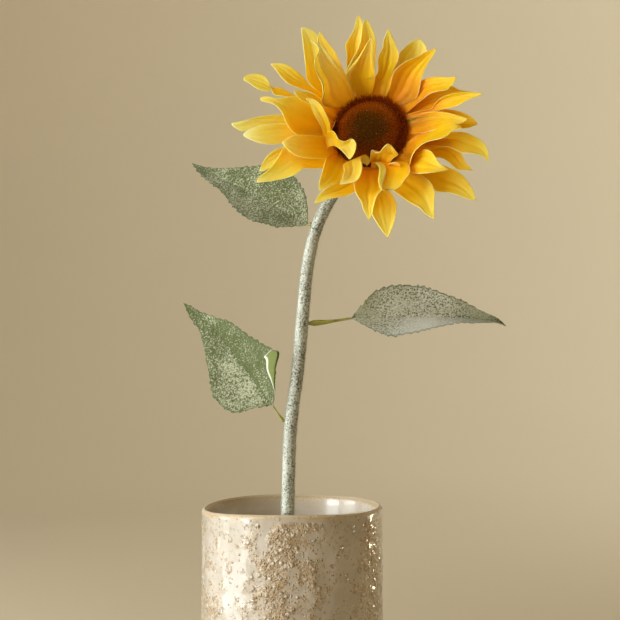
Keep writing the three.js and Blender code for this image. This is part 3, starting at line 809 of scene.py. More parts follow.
def grain_group():
    """Grains: a rounded lump in some of the cells of a cell pattern, and the crease round it."""
    if "Grains" in bpy.data.node_groups:
        return bpy.data.node_groups["Grains"]
    group, given, result = new_group(
        "Grains",
        {
            "Vector": ("NodeSocketVector", None),
            "Scale": ("NodeSocketFloat", 450.0),
            "Share": ("NodeSocketFloat", 0.5),
        },
        {"Lumps": "NodeSocketFloat", "Creases": "NodeSocketFloat"},
    )
    cells = add(group, "ShaderNodeTexVoronoi", {
        "Vector": given["Vector"], "Scale": given["Scale"], "Randomness": 1.0,
    })
    draw = add(group, "ShaderNodeSeparateColor", {0: cells.outputs["Color"]}).outputs
    kept = maths(group, "LESS_THAN", draw[0], given["Share"])
    size = times(group, kept, plus(group, times(group, draw[1], 0.6), 0.4))
    lumps = times(group, ease(group, cells.outputs["Distance"], 0.08, 0.6, 1.0, 0.0), size)
    creases = times(group, ease(group, cells.outputs["Distance"], 0.34, 0.56), size)
    group.links.new(lumps, result.inputs["Lumps"])
    group.links.new(creases, result.inputs["Creases"])
    return group


def stoneware(settings):
    """Glazed stoneware. The piece's place holds how crusty the glaze is, how much of the ochre lip
    shows, and the inside of the mouth. Crusty glaze is sandy grains parted by rust creases, with
    brown pits. Inside, the glaze is smooth and leans outwards a little. The foot is bare clay."""
    made, tree, shader = new_material("speckled_stoneware")
    crust, lip, zone = place_parts(tree)
    where = object_place(tree)
    height_above = add(tree, "ShaderNodeSeparateXYZ", {0: where}).outputs[2]
    inside = ease(tree, zone, 1.4, 1.6)
    outside = minus(tree, 1.0, inside)
    fine = noise_texture(tree, where, 900.0, 3.0, 0.6)
    cloud = noise_texture(tree, where, 45.0, 3.0)
    ripple = noise_texture(tree, where, 120.0, 1.0)
    clouded = ease(tree, cloud, 0.35, 0.65)
    colour = mix_colour(tree, clouded, settings.glaze, GLAZE_CLOUD)
    sand = mix_colour(tree, ease(tree, ripple, 0.35, 0.65), *SAND_COLOURS)
    colour = mix_colour(tree, times(tree, crust, 0.5), colour, sand)
    share = plus(tree, times(tree, crust, 0.85), 0.06)
    large = use_group(tree, grain_group(), {"Vector": where, "Scale": 270.0, "Share": share})
    small = use_group(tree, grain_group(), {"Vector": where, "Scale": 640.0, "Share": share})
    lumps = plus(tree, large["Lumps"], times(tree, small["Lumps"], 0.6))
    lumps = times(tree, lumps, outside)
    creases = maths(tree, "MAXIMUM", large["Creases"], times(tree, small["Creases"], 0.8))
    creases = times(tree, creases, ease(tree, fine, 0.38, 0.6, 0.15, 0.95))
    creases = times(tree, creases, outside)
    crest = ease(tree, lumps, 0.3, 1.0, 0.0, 0.8)
    colour = mix_colour(tree, crest, colour, GRAIN_CREST)
    colour = mix_colour(tree, creases, colour, settings.glaze_rust)
    spots = {"Vector": where, "Scale": 430.0, "Share": plus(tree, share, 0.10), "Size": 0.17}
    speckles = use_group(tree, speckle_group(), spots)
    dots = times(tree, speckles["Dots"], ease(tree, inside, 0.0, 1.0, 0.85, 0.1))
    halos = times(tree, speckles["Halos"], times(tree, outside, 0.7))
    colour = mix_colour(tree, halos, colour, SPECKLE_HALO)
    colour = mix_colour(tree, dots, colour, SPECKLE)
    cream = mix_colour(tree, ease(tree, cloud, 0.3, 0.7), *MOUTH_COLOURS)
    colour = mix_colour(tree, times(tree, inside, 0.95), colour, cream)
    ochre = mix_colour(tree, ease(tree, fine, 0.35, 0.65), *LIP_COLOURS)
    pale_top = times(tree, read(tree, "tint").outputs["Fac"], 0.7)
    ochre = mix_colour(tree, pale_top, ochre, LIP_TOP)
    colour = mix_colour(tree, lip, colour, ochre)
    bare = ease(tree, height_above, 0.8 * MM, 1.6 * MM, 1.0, 0.0)
    colour = mix_colour(tree, bare, colour, BARE_CLAY)
    tree.links.new(colour, shader.inputs["Base Color"])
    rough = plus(tree, ease(tree, fine, 0.3, 0.7, 0.14, 0.24), times(tree, creases, 0.2))
    rough = plus(tree, rough, times(tree, bare, 0.6))
    rough = plus(tree, rough, times(tree, lip, 0.25), clamp=True)
    tree.links.new(rough, shader.inputs["Roughness"])
    tree.links.new(ease(tree, lip, 0.0, 1.0, 0.9, 0.15), shader.inputs["Coat Weight"])
    shader.inputs["Coat Roughness"].default_value = 0.05
    waves = plus(tree, times(tree, cloud, 1.6), times(tree, ripple, 0.7))
    waves = times(tree, waves, ease(tree, inside, 0.0, 1.0, 1.0, 0.15))
    lean = times(tree, height_above, -MOUTH_LEAN / MM / 0.5)
    waves = plus(tree, waves, times(tree, lean, inside))
    grit = times(tree, fine, plus(tree, times(tree, crust, 1.5), 0.05))
    height = plus(tree, plus(tree, grit, waves), times(tree, lumps, 3.0))
    height = minus(tree, height, times(tree, dots, 0.4))
    tree.links.new(bump(tree, height, 0.5), shader.inputs["Normal"])
    return made


def plain_studio(name, colour):
    """Matt paper, faintly clouded."""
    made, tree, shader = new_material(name)
    cloud = noise_texture(tree, object_place(tree), 1.5)
    paler = tuple(min(1.0, 1.05 * c) for c in colour)
    tree.links.new(mix_colour(tree, cloud, colour, paler), shader.inputs["Base Color"])
    shader.inputs["Roughness"].default_value = 0.9
    shader.inputs["Specular IOR Level"].default_value = 0.1
    return made


# The head's own axes: across to the right, up the face, and out of the face


def head_axes():
    up, left = rad(HEAD_TILT_UP), rad(HEAD_TURN_LEFT)
    out = np.array([-np.sin(left) * np.cos(up), -np.cos(left) * np.cos(up), np.sin(up)])
    across = unit(np.cross([0, 0, 1], out))
    return np.stack([across, np.cross(out, across), out])


def sight(drawing, spots):
    """Directions from the eye through spots of a drawing, as far ahead as one millimetre."""
    right, down, steps = drawing
    across, up = (spots[..., 0] - right) / steps, (down - spots[..., 1]) / steps
    return np.stack([across, np.ones_like(across), up], -1)


def above_head(spots, height):
    """Where the lines of sight through the spots reach a height above the head's plane."""
    out = head_axes()[2]
    lines = sight(HEAD_DRAWING, spots)
    return EYE + lines * ((height + out @ (HEAD_CENTRE - EYE)) / (lines @ out))[..., None]


def on_head(patch):
    """Moves a patch from the head's own axes to its place on the stem."""
    patch.points = patch.points @ head_axes() + HEAD_CENTRE
    return patch


# Stem: from the vase's floor, over the front of the rim, then up and forward into the calyx

STEM_POINTS = [
    (-8, -35, VASE_FLOOR + CLEARANCE + 0.35),
    (-5.2, -44, 103),
    (-2.3, -52.2, 197),
    (-0.2, -56.8, 258),
    (4.6, -59.3, 297),
    (8.2, -60.4, 336),
    (10.9, -60.2, 363),
    (16.6, -59, 389),
    (25.6, -58.2, 408),
    (38.5, -59.5, 427),
    (51, -66, 437.8),
]


def stem_path(count):
    """The smooth curve through the stem's points and on along the straight neck behind the head."""
    out = head_axes()[2]
    neck = [HEAD_CENTRE - out * (NECK_LENGTH + more) for more in (NECK_STRAIGHT, CLEARANCE / 2)]
    return smooth_path([*STEM_POINTS, *neck], count)


def stem_radius(t):
    """It goes evenly from the foot's radius to the top's."""
    return STEM_FOOT_RADIUS + (STEM_TOP_RADIUS - STEM_FOOT_RADIUS) * t


STEM_ROWS = 760
STEM_AROUND = 64
STEM_FIBRES = 26000
ACROSS_X = np.array([1.0, 0.0, 0.0])
ACROSS_Y = np.array([0.0, 1.0, 0.0])


def stem_rings():
    """The tube's radius gains fine noise, so that the flock looks granular at its outline."""
    path = stem_path(STEM_ROWS)
    t = np.linspace(0, 1, STEM_ROWS)[:, None]
    row, column = np.meshgrid(np.arange(STEM_ROWS), np.arange(STEM_AROUND), indexing="ij")
    grain = 0.16 * noise(row * 0.55, column * 0.5, SEED, STEM_AROUND // 2)
    grain = grain + 0.14 * noise(row * 0.13, column * 0.25, SEED + 1, STEM_AROUND // 4)
    seated = smooth(np.minimum(t, 1 - t) / 0.01)
    return ring_tube(path, stem_radius(t) - 0.1 + grain * seated, STEM_AROUND, ACROSS_X)


# The petals' outlines as drawn from the front: X to the right and Y down, in steps of the drawing.
# base is the angle at which a petal leaves the hub, or None for a strip that starts off it. left
# and right are its edges on the left and right hand of someone looking from its base to its tip.
# rise and level are its slopes at the base and at the tip in degrees, and lift the tip's height
# above the head's plane. foot is the height of its start, where that isn't its layer's. curl raises
# the right and left edges, rolled is how much of each half is turned back over the front, tilt
# raises the left edge and lowers the right along the length, and creases scales the lengthwise
# creases. A higher tint brings its dye nearer to the tips' colour. The tints also hold painted
# light: high tints paint the glow of light through the petals on the left, and low tints paint the
# shade on those to the right of the disc.


def petal(base, rise, lift, level, left, right, **more):
    shape = dict(curl=(0.9, 0.9), rolled=(0, 0), tilt=(0, 0), creases=1.0, tint=0.5, foot=None)
    shape.update(base=base, rise=rise, lift=lift, level=level, left=left, right=right, **more)
    return shape


BACK_PETALS = [
    petal(
        139, 25, 18, 15, tint=1.2, curl=(0.6, 1.4),
        left=[(560, 500), (487, 420), (480, 370), (472, 290), (462, 200), (452, 125)],
        right=[(640, 420), (600, 330), (570, 240), (545, 168), (500, 131), (452, 125)],
    ),
    petal(
        101, 25, 22, 15, tint=0.8,
        left=[
            (715, 420), (708, 345), (710, 285), (703, 225), (722, 185), (748, 140), (760, 90),
            (771, 55),
        ],
        right=[(800, 400), (800, 300), (800, 180), (798, 110), (788, 72), (771, 55)],
    ),
    petal(
        69, 20, 18, 15, tint=0.9, curl=(1.5, 0.3),
        left=[(960, 400), (985, 320), (1008, 263), (1036, 235), (1075, 203), (1112, 187)],
        right=[(1060, 420), (1130, 330), (1160, 275), (1158, 240), (1140, 208), (1112, 187)],
    ),
    petal(
        24, 15, 14, 10, tint=-0.3,
        left=[(1130, 510), (1220, 480), (1290, 452), (1345, 475), (1420, 487), (1475, 496)],
        right=[(1180, 600), (1260, 578), (1316, 556), (1372, 538), (1430, 515), (1475, 496)],
    ),
    petal(
        14, 10, 10, 5, tint=-0.7,
        left=[(1180, 590), (1260, 583), (1320, 590), (1372, 607), (1415, 632), (1446, 668)],
        right=[(1200, 700), (1300, 688), (1360, 692), (1405, 685), (1446, 668)],
    ),
    petal(
        -20, 15, 8, -5, tint=0.05,
        left=[
            (1120, 770), (1200, 755), (1280, 750), (1340, 800), (1360, 850), (1385, 890),
            (1418, 928),
        ],
        right=[(1130, 868), (1235, 856), (1285, 885), (1330, 922), (1375, 924), (1418, 928)],
    ),
    petal(
        -39, 5, 5, 5, tint=0.4,
        left=[
            (1150, 870), (1260, 900), (1320, 925), (1365, 960), (1400, 1005), (1422, 1050),
            (1435, 1096),
        ],
        right=[
            (1090, 960), (1170, 1010), (1215, 1045), (1270, 1050), (1330, 1065), (1380, 1085),
            (1435, 1096),
        ],
    ),
    petal(
        -79, 5, 5, 5, tint=0.7, curl=(1.2, 1.6),
        left=[
            (920, 1000), (950, 1040), (975, 1075), (990, 1125), (985, 1185), (965, 1250),
            (943, 1308),
        ],
        right=[(820, 1020), (845, 1110), (850, 1170), (880, 1225), (912, 1270), (943, 1308)],
    ),
    petal(
        -100, 5, 6, 5, tint=0.6,
        left=[
            (800, 1000), (762, 1042), (720, 1065), (670, 1077), (610, 1086), (565, 1104),
            (527, 1112),
        ],
        right=[(745, 940), (695, 975), (640, 1004), (585, 1033), (550, 1070), (527, 1112)],
    ),
    petal(
        -163, 10, 8, 5, tint=1.0,
        left=[(480, 880), (400, 885), (330, 895), (290, 905), (250, 928), (217, 932)],
        right=[(480, 790), (385, 785), (340, 797), (300, 815), (262, 848), (235, 890), (217, 932)],
    ),
    petal(
        175, 12, 12, 5, tint=1.4, curl=(1.4, 0.4),
        left=[(450, 730), (300, 705), (190, 690), (125, 706), (90, 692), (58, 664)],
        right=[(480, 620), (345, 612), (290, 615), (220, 625), (150, 642), (95, 655), (58, 664)],
    ),
    petal(
        150, 20, 14, 5, tint=0.7, tilt=(0, 0, 0, 1.6, 0, 0, 0), creases=0.4,
        left=[
            (470, 560), (370, 513), (330, 508), (300, 500), (282, 450), (265, 415), (240, 393),
            (195, 385), (150, 393), (125, 415),
        ],
        right=[
            (500, 530), (400, 495), (345, 465), (305, 460), (275, 482), (245, 481), (205, 467),
            (160, 435), (125, 415),
        ],
    ),
]
MIDDLE_PETALS = [
    petal(
        145, 38, 22, 0, tint=0.6, curl=(0.3, 1.5), creases=0.4,
        left=[(580, 550), (520, 495), (440, 465), (385, 443), (345, 408), (315, 368), (280, 328)],
        right=[(560, 490), (500, 445), (475, 413), (440, 378), (400, 347), (345, 326), (280, 328)],
    ),
    petal(
        115, 30, 24, 20, tint=0.6, curl=(0.4, 1.0),
        left=[(600, 420), (570, 320), (550, 235), (545, 190), (552, 165), (560, 144)],
        right=[(712, 405), (695, 370), (668, 310), (650, 270), (620, 225), (590, 190), (560, 144)],
    ),
    petal(
        99, 30, 28, 25, tint=0.8, rolled=(0, 0.42),
        left=[(705, 440), (703, 385), (738, 308), (768, 250), (790, 170), (797, 115), (806, 84)],
        right=[(868, 400), (873, 290), (876, 215), (862, 155), (842, 110), (825, 85), (806, 84)],
    ),
    petal(
        55, 28, 24, 20, tint=-0.45, curl=(0.5, 1.6), tilt=(0, 1.6, 2.0, 1.4, 0),
        left=[(950, 460), (975, 370), (1035, 318), (1109, 285), (1165, 255), (1215, 243)],
        right=[(1100, 520), (1127, 425), (1142, 375), (1170, 320), (1198, 280), (1215, 243)],
    ),
    petal(
        37, 25, 22, 15, tint=-0.75, curl=(0.9, -0.9), tilt=(0, -1.6, -1.6, -0.8, 0),
        left=[(1080, 470), (1130, 422), (1175, 405), (1230, 401), (1280, 405), (1325, 397)],
        right=[
            (1120, 540), (1180, 497), (1232, 482), (1272, 475), (1292, 455), (1315, 425),
            (1325, 397),
        ],
    ),
    petal(
        -12, 25, 12, -15, tint=0.5,
        left=[
            (1200, 720), (1300, 710), (1370, 712), (1430, 738), (1475, 770), (1500, 815),
            (1506, 887),
        ],
        right=[
            (1180, 790), (1290, 800), (1350, 828), (1400, 830), (1450, 840), (1485, 860),
            (1506, 887),
        ],
    ),
    petal(
        -58, 15, 12, 5, tint=0.5,
        left=[(1090, 930), (1150, 965), (1188, 1005), (1203, 1050), (1200, 1120), (1203, 1202)],
        right=[
            (945, 990), (965, 1035), (1010, 1070), (1065, 1110), (1115, 1135), (1150, 1170),
            (1203, 1202),
        ],
    ),
    petal(
        -90, 20, 14, 5, tint=0.35, rolled=(0, 0.25), curl=(0.8, 0.4),
        left=[
            (920, 950), (940, 1010), (915, 1040), (885, 1070), (868, 1110), (852, 1165),
            (838, 1208),
        ],
        right=[
            (752, 960), (750, 1020), (768, 1070), (790, 1100), (800, 1140), (818, 1175),
            (838, 1208),
        ],
    ),
    petal(
        -137, 30, 18, 10, tint=0.3, curl=(1.2, 0.3),
        left=[(712, 870), (716, 910), (700, 955), (660, 998), (602, 1022), (556, 1040)],
        right=[(610, 835), (590, 870), (577, 915), (563, 965), (553, 1010), (556, 1040)],
    ),
    petal(
        -153, 20, 14, 5, tint=1.05,
        left=[(600, 905), (540, 916), (465, 918), (425, 948), (370, 970), (290, 986), (200, 995)],
        right=[
            (540, 855), (470, 850), (400, 820), (362, 795), (330, 840), (298, 890), (255, 935),
            (218, 962), (200, 995),
        ],
    ),
    petal(
        -176, 32, 18, -8, tint=1.4,
        left=[(480, 800), (390, 785), (350, 775), (300, 781), (230, 775), (165, 752), (125, 730)],
        right=[(480, 690), (380, 665), (300, 664), (240, 670), (190, 684), (150, 703), (125, 730)],
    ),
    petal(
        168, 42, 22, -8, tint=0.85, curl=(0.6, 1.4),
        left=[
            (520, 745), (430, 730), (395, 700), (365, 650), (345, 600), (318, 568), (280, 548),
            (240, 541), (222, 530),
        ],
        right=[
            (560, 590), (490, 545), (420, 508), (370, 517), (320, 522), (270, 512), (235, 515),
            (222, 530),
        ],
    ),
]
FRONT_PETALS = [
    petal(
        125, 48, 34, 5, tint=2.0, creases=4.0, curl=(0.2, 1.8), rolled=(0, 0.10),
        left=[
            (590, 565), (570, 540), (577, 500), (570, 440), (545, 390), (532, 345), (533, 300),
            (550, 262), (548, 232), (525, 210), (500, 195),
        ],
        right=[(735, 430), (690, 370), (640, 310), (600, 260), (560, 220), (500, 195)],
    ),
    petal(
        97, 38, 30, 30, tint=0.8, rolled=(0, 0.3),
        left=[(712, 430), (706, 390), (728, 352), (773, 297), (818, 225), (851, 176)],
        right=[(868, 430), (868, 370), (862, 310), (857, 250), (856, 210), (851, 176)],
    ),
    petal(
        76, 32, 28, 25, tint=0.45, curl=(0.4, 1.6), creases=1.6,
        left=[
            (838, 430), (824, 410), (855, 408), (878, 385), (884, 345), (882, 310), (892, 272),
            (911, 238), (913, 205), (927, 168), (943, 128),
        ],
        right=[(965, 430), (975, 360), (996, 320), (1002, 275), (988, 228), (965, 178), (943, 128)],
    ),
    petal(
        20, 30, 24, 15, tint=-0.35, curl=(0.2, 1.8),
        left=[
            (1130, 590), (1185, 580), (1205, 550), (1240, 518), (1295, 497), (1360, 489),
            (1420, 488), (1477, 496),
        ],
        right=[
            (1130, 640), (1195, 605), (1260, 582), (1320, 568), (1400, 527), (1450, 510),
            (1477, 496),
        ],
    ),
    petal(
        7, 22, 20, 14, tint=-0.25,
        left=[(1120, 610), (1195, 597), (1260, 600), (1315, 613), (1350, 622), (1390, 640)],
        right=[(1150, 715), (1230, 690), (1290, 670), (1345, 664), (1390, 640)],
    ),
    petal(
        -18, 45, 24, 10, tint=-0.25, tilt=(-1, -3.5, -4, -3.5, -1.5), creases=0.5,
        left=[
            (1045, 768), (1085, 742), (1130, 720), (1190, 706), (1235, 678), (1258, 660),
            (1290, 655), (1335, 672), (1362, 690),
        ],
        right=[
            (1058, 905), (1068, 868), (1084, 830), (1112, 796), (1140, 776), (1176, 762),
            (1232, 750), (1271, 732), (1300, 705), (1335, 694), (1362, 690),
        ],
    ),
    petal(
        -46, 50, 20, -10, tint=0.1, curl=(0.5, 2.0),
        left=[
            (1040, 835), (1080, 838), (1115, 822), (1150, 808), (1185, 822), (1205, 850),
            (1235, 890), (1282, 922),
        ],
        right=[(1060, 935), (1100, 945), (1150, 943), (1205, 937), (1250, 930), (1282, 922)],
    ),
    petal(
        -72, 55, 18, -20, tint=0.05, rolled=(0.5, 0), curl=(0.5, 1.6),
        left=[
            (1040, 880), (1062, 905), (1062, 940), (1040, 970), (1015, 1008), (985, 1031),
            (945, 1030),
        ],
        right=[
            (845, 905), (862, 880), (885, 905), (886, 960), (890, 1010), (905, 1035), (945, 1030),
        ],
    ),
    petal(
        None, 70, 20, 60, tint=0.25, curl=(1.0, 1.0), foot=-1.0,
        left=[
            (866, 915), (842, 875), (842, 838), (850, 812), (870, 828), (893, 822), (915, 796),
            (940, 776),
        ],
        right=[(930, 925), (950, 890), (970, 860), (998, 838), (980, 812), (962, 788), (940, 776)],
    ),
    petal(
        None, 60, 16, 20, tint=0.6, curl=(0.6, 0.6), foot=2.0, creases=0.3,
        left=[(955, 925), (942, 905), (944, 890), (965, 884), (985, 880)],
        right=[(1005, 945), (1013, 925), (1008, 900), (1000, 886), (985, 880)],
    ),
    petal(
        -108, 60, 16, -10, tint=1.1, curl=(0.3, 1.4), rolled=(0, 0.15),
        left=[
            (842, 870), (812, 838), (790, 860), (798, 900), (790, 950), (765, 983), (715, 997),
            (668, 1005),
        ],
        right=[(725, 880), (690, 893), (694, 930), (684, 965), (676, 990), (668, 1005)],
    ),
    petal(
        None, 40, 15, 0, tint=0.6, tilt=(0.5, 2, 2, 0.5), foot=7.0,
        curl=(0.3, 1.2), creases=0.6,
        left=[
            (588, 775), (592, 738), (602, 710), (628, 702), (648, 722), (665, 752), (700, 762),
            (738, 748), (760, 768), (762, 800), (748, 838), (725, 866),
        ],
        right=[
            (600, 810), (618, 792), (640, 790), (660, 800), (680, 815), (698, 835), (712, 852),
            (725, 866),
        ],
    ),
    petal(
        -160, 48, 22, -5, tint=0.9, curl=(1.2, 0.6),
        left=[(590, 860), (540, 860), (480, 858), (430, 845), (385, 815), (345, 770)],
        right=[(600, 735), (540, 732), (470, 727), (410, 730), (370, 748), (345, 770)],
    ),
    petal(
        167, 60, 26, 20, tint=0.8, tilt=(-1, -3, -3.5, -3, -1), creases=0.5, curl=(1.2, 0.3),
        left=[(585, 745), (572, 700), (555, 660), (528, 615), (512, 575), (500, 545), (478, 525)],
        right=[(622, 700), (614, 660), (599, 620), (572, 568), (545, 540), (510, 524), (478, 525)],
    ),
    petal(
        155, 34, 26, 20, tint=0.9,
        left=[(560, 590), (490, 548), (450, 530), (425, 505), (410, 478)],
        right=[(600, 560), (560, 520), (510, 492), (455, 479), (410, 478)],
    ),
]
PETALS = {"back": BACK_PETALS, "middle": MIDDLE_PETALS, "front": FRONT_PETALS}


def hub_spot(angle):
    """The drawing's spot for a point of the hub under the fringe."""
    across, down = DISC_SPOT
    return (across + HUB_SPREAD[0] * np.cos(rad(angle)), down - HUB_SPREAD[1] * np.sin(rad(angle)))


def along_stations(values, s):
    """Values spaced evenly from 0 to 1, blended by smoothstep between neighbours."""
    values = np.asarray(values, float)
    where = np.clip(s, 0, 1) * (len(values) - 1)
    index = np.minimum(where.astype(int), len(values) - 2)
    return values[index] + (values[index + 1] - values[index]) * smooth(where - index)


def petal_patch(shape, foot, settings, rng):
    """One petal: straight lines across from edge to edge of its drawn outline, set at a height
    above the head's plane. The height is a cubic curve from foot to tip, plus a square curve that
    cups each line, the edges' curls, the tilt, ruffles that wave the edges and creases that run
    lengthwise. A rolled half goes out to its edge and some way back in front of itself."""
    s = np.linspace(0, 1, PETAL_ROWS)[:, None]
    t = crowded_steps(PETAL_COLUMNS)
    left, right = list(shape["left"]), list(shape["right"])
    if shape["base"] is not None:
        left.insert(0, hub_spot(shape["base"] + PETAL_FOOT_SPREAD))
        right.insert(0, hub_spot(shape["base"] - PETAL_FOOT_SPREAD))
    left = smooth_path(left, PETAL_ROWS + 1)[:-1]
    right = smooth_path(right, PETAL_ROWS + 1)[:-1]
    centre, half = (left + right) / 2, (left - right) / 2
    width = DRAWING_STEP * np.linalg.norm(half, axis=1)[:, None]
    length = DRAWING_STEP * np.linalg.norm(np.diff(centre, axis=0), axis=1).sum()
    foot = foot if shape["foot"] is None else shape["foot"]
    first = foot + CURVE_HANDLE * length * np.sin(rad(shape["rise"]))
    second = shape["lift"] - CURVE_HANDLE * length * np.sin(rad(shape["level"]))
    q = 1 - s
    height = foot * q**3 + 3 * first * q * q * s + 3 * second * q * s * s + shape["lift"] * s**3
    middling = np.sin(np.pi * s**0.85)
    rolled = np.where(t < 0, *shape["rolled"]) * middling
    path = np.abs(t) * (1 + rolled)
    across = np.sign(t) * (1 - np.abs(1 - path))
    spots = centre[:, None] + half[:, None] * across[..., None]
    cup = rad(PETAL_CUPPING) * (END_CUPPING_SHARE + (1 - END_CUPPING_SHARE) * middling)
    height = height + 0.5 * cup * width * across**2
    share = np.clip(width / 5, 0, 1)
    curl = np.where(t < 0, *shape["curl"]) * smooth((path - 0.4) / 0.6)
    height = height + curl * middling * share
    height = height + ROLL_GAP * smooth((path - 0.7) / 0.6) * np.minimum(rolled / 0.1, 1)
    height = height + along_stations(shape["tilt"], s) * across
    phase = rng.uniform(0, 2 * np.pi, 6)
    waves = np.sin(2 * np.pi * rng.uniform(1.4, 2.6) * s + phase[0]) * (t > 0)
    waves = waves + np.sin(2 * np.pi * rng.uniform(1.4, 2.6) * s + phase[1]) * (t < 0)
    ruffle = settings.ruffle_depth / MM * waves * np.abs(across) ** 2.2
    fine = np.sin(2.3 * np.pi * t + phase[2] + 0.8 * s)
    fine = fine + 0.6 * np.sin(4.1 * np.pi * t + phase[3] - 2 * s)
    fine = fine + 0.2 * np.sin(6.5 * np.pi * t + phase[4] + 3 * s)
    crease = settings.crease_depth / MM * shape["creases"] * fine * (1 - np.abs(across) ** 6)
    fold = -0.7 * bell(t, 0.15)
    height = height + (ruffle + 0.6 * crease + fold) * middling * share
    middle = above_head(spots, height)
    cloth = settings.cloth_thickness / MM / 2
    bead = 1 + 0.5 * bell(np.abs(t) - 0.94, 0.05)
    thick = cloth * bead * np.sqrt(1 - t**10) * np.ones_like(s)
    return shell(middle, thick, s + 0 * t, t + 0 * s, shape["tint"])


def hub_patch(height):
    """A layer's hub, coloured as the petals are at the disc: their dye, with the painted shadow
    round the disc.
    """
    patch = plate(HUB_RADIUS, height, HUB_THICKNESS, 96)
    patch.places[:, :2] = 0
    patch.tints[:] = 0.2
    return patch


# Leaves: midrib ends and directions, how each half folds from the plane that faces the front, at
# base and at tip, the height at which the stalk leaves the stem, that stalk's radius there, how
# thickly each half is flocked along its length, which on the right leaf also paints light on the
# half that faces up, how much painted shade darkens the groove along its midrib, how much of the
# right hand's margin is turned over, and the leaf's drawing from the front: its midrib and its
# edges on the left and right hand from base to tip

LEAVES = {
    "upper_left": dict(
        base=(9.8, -57, 392.6), tip=(-69.8, -5, 438),
        leave=(-0.8, 0.35, 0.35), arrive=(-0.7, 0.4, 0.5),
        folds=((-8, -8), (34, 34)), joint=391.5, stalk=1.3, rib_groove_shade=0.0, flap=0,
        flock_and_painted_light=((0.47, 0.44, 0.43, 0.44, 0.45, 0.40), (0.48, 0.44, 0.48, 0.45, 0.48, 0.40)),
        drawing=(1463.5, 1672.5, 16140),
        midrib=[
            (1440, 778), (1260, 690), (1050, 580), (830, 455), (600, 330), (400, 225), (225, 135),
        ],
        left=[
            (1440, 778), (1400, 792), (1300, 797), (1200, 803), (1120, 800), (1040, 782),
            (940, 757), (850, 728), (770, 682), (690, 612), (615, 530), (545, 445), (440, 355),
            (330, 262), (225, 135),
        ],
        right=[
            (1440, 778), (1442, 700), (1436, 620), (1425, 540), (1408, 460), (1365, 385),
            (1310, 300), (1230, 215), (1120, 168), (1000, 165), (860, 178), (720, 185), (600, 192),
            (480, 195), (340, 172), (225, 135),
        ],
    ),
    "right": dict(
        base=(39.6, -58, 330.2), tip=(143.7, -45, 325),
        leave=(0.95, 0.1, 0.02), arrive=(0.95, 0.1, -0.2),
        folds=((42, 80), (-52, -32)), joint=327, stalk=1.9, rib_groove_shade=0.0, flap=0,
        flock_and_painted_light=(
            (0.74, 0.74, 0.84, 1.06, 1.12, 1.0, 0.70, 0.48, 0.42),
            (0.50, 0.66, 0.82, 0.78, 0.86, 0.86, 0.72, 0.56, 0.46),
        ),
        drawing=(-276.7, 368.9, 14241),
        midrib=[
            (99, 448), (250, 444), (450, 440), (700, 436), (900, 434), (1050, 440), (1200, 452),
            (1330, 462), (1440, 478), (1530, 515),
        ],
        left=[
            (99, 448), (140, 396), (200, 335), (255, 262), (310, 215), (370, 182), (440, 158),
            (540, 138), (640, 143), (760, 160), (850, 184), (940, 214), (1040, 252), (1140, 292),
            (1240, 345), (1330, 388), (1410, 424), (1470, 455), (1530, 515),
        ],
        right=[
            (99, 448), (170, 480), (240, 512), (300, 545), (365, 575), (440, 603), (530, 602),
            (620, 582), (700, 568), (790, 550), (880, 527), (970, 507), (1070, 486), (1160, 482),
            (1260, 487), (1350, 483), (1430, 484), (1490, 498), (1530, 515),
        ],
    ),
    "lower_left": dict(
        base=(-12, -58, 272.5), tip=(-75.1, -10, 340.3),
        leave=(-0.62, 0.3, 0.75), arrive=(-0.75, 0.45, 0.55),
        folds=((38, 22), (-4, -4)), joint=261, stalk=1.1, rib_groove_shade=0.16, flap=0.4,
        flock_and_painted_light=((0.44, 0.40, 0.38, 0.38, 0.40, 0.40), (0.44, 0.49, 0.48, 0.43, 0.41, 0.40)),
        drawing=(1372, 294, 15131),
        midrib=[
            (1010, 1225), (960, 1180), (880, 1080), (800, 960), (720, 850), (630, 720), (540, 600),
            (450, 500), (330, 400), (200, 280), (130, 222),
        ],
        left=[
            (1010, 1225), (930, 1235), (850, 1240), (770, 1268), (640, 1297), (550, 1265),
            (480, 1205), (425, 1130), (398, 1000), (378, 900), (355, 790), (340, 680), (312, 560),
            (290, 490), (215, 390), (165, 300), (130, 222),
        ],
        right=[
            (1010, 1225), (1028, 1100), (1026, 1010), (1033, 930), (1043, 830), (1066, 705),
            (1000, 678), (935, 645), (850, 600), (760, 545), (660, 460), (560, 400), (470, 375),
            (380, 345), (280, 305), (190, 250), (130, 222),
        ],
    ),
}
LEAF_FIBRES = 10000
FLAP_RANGE = (0.03, 0.27, 0.345, 0.385)
FLAP_GAP = 1.05
FOLD_REACH = 26


def leaf_tooth(s, t, seed):
    """Leaning teeth along both edges, uneven in size, and a ragged cut between them."""
    saw = (s * LEAF_TEETH + 0.35 * noise(s * 9, 0 * s + seed, seed)) % 1
    uneven = noise(np.floor(s * LEAF_TEETH) * 0.7, np.sign(t) + 3, seed + 3)
    size = LEAF_TOOTH_DEPTH * (0.8 + 0.6 * uneven)
    tooth = size * np.where(saw < 0.78, saw / 0.78, (1 - saw) / 0.22) * (1 - s / 2)
    ragged = 0.35 * noise(s * 90, t * 1.2 + 7, seed + 1) * np.abs(t) ** 6
    return (tooth * np.abs(t) ** 9 + ragged) * smooth(s * 12)


def leaf_relief(s, t, seed):
    """Side veins as soft ridges along lines that climb towards the edge, a groove along the
    midrib, and a slow wave."""
    spread = np.abs(t)
    vein = np.abs(((s * LEAF_VEINS * 1.15 - spread * 1.1) % 1) - 0.5)
    ridge = 0.3 * bell(vein, 0.07) * np.sin(np.pi * spread) ** 0.5
    groove = -0.9 * bell(t, 0.06)
    wavy = 0.9 * noise(s * 6, 2 * t + 11, seed + 2) * spread**2
    return (ridge + groove + wavy) * np.sin(np.pi * s)


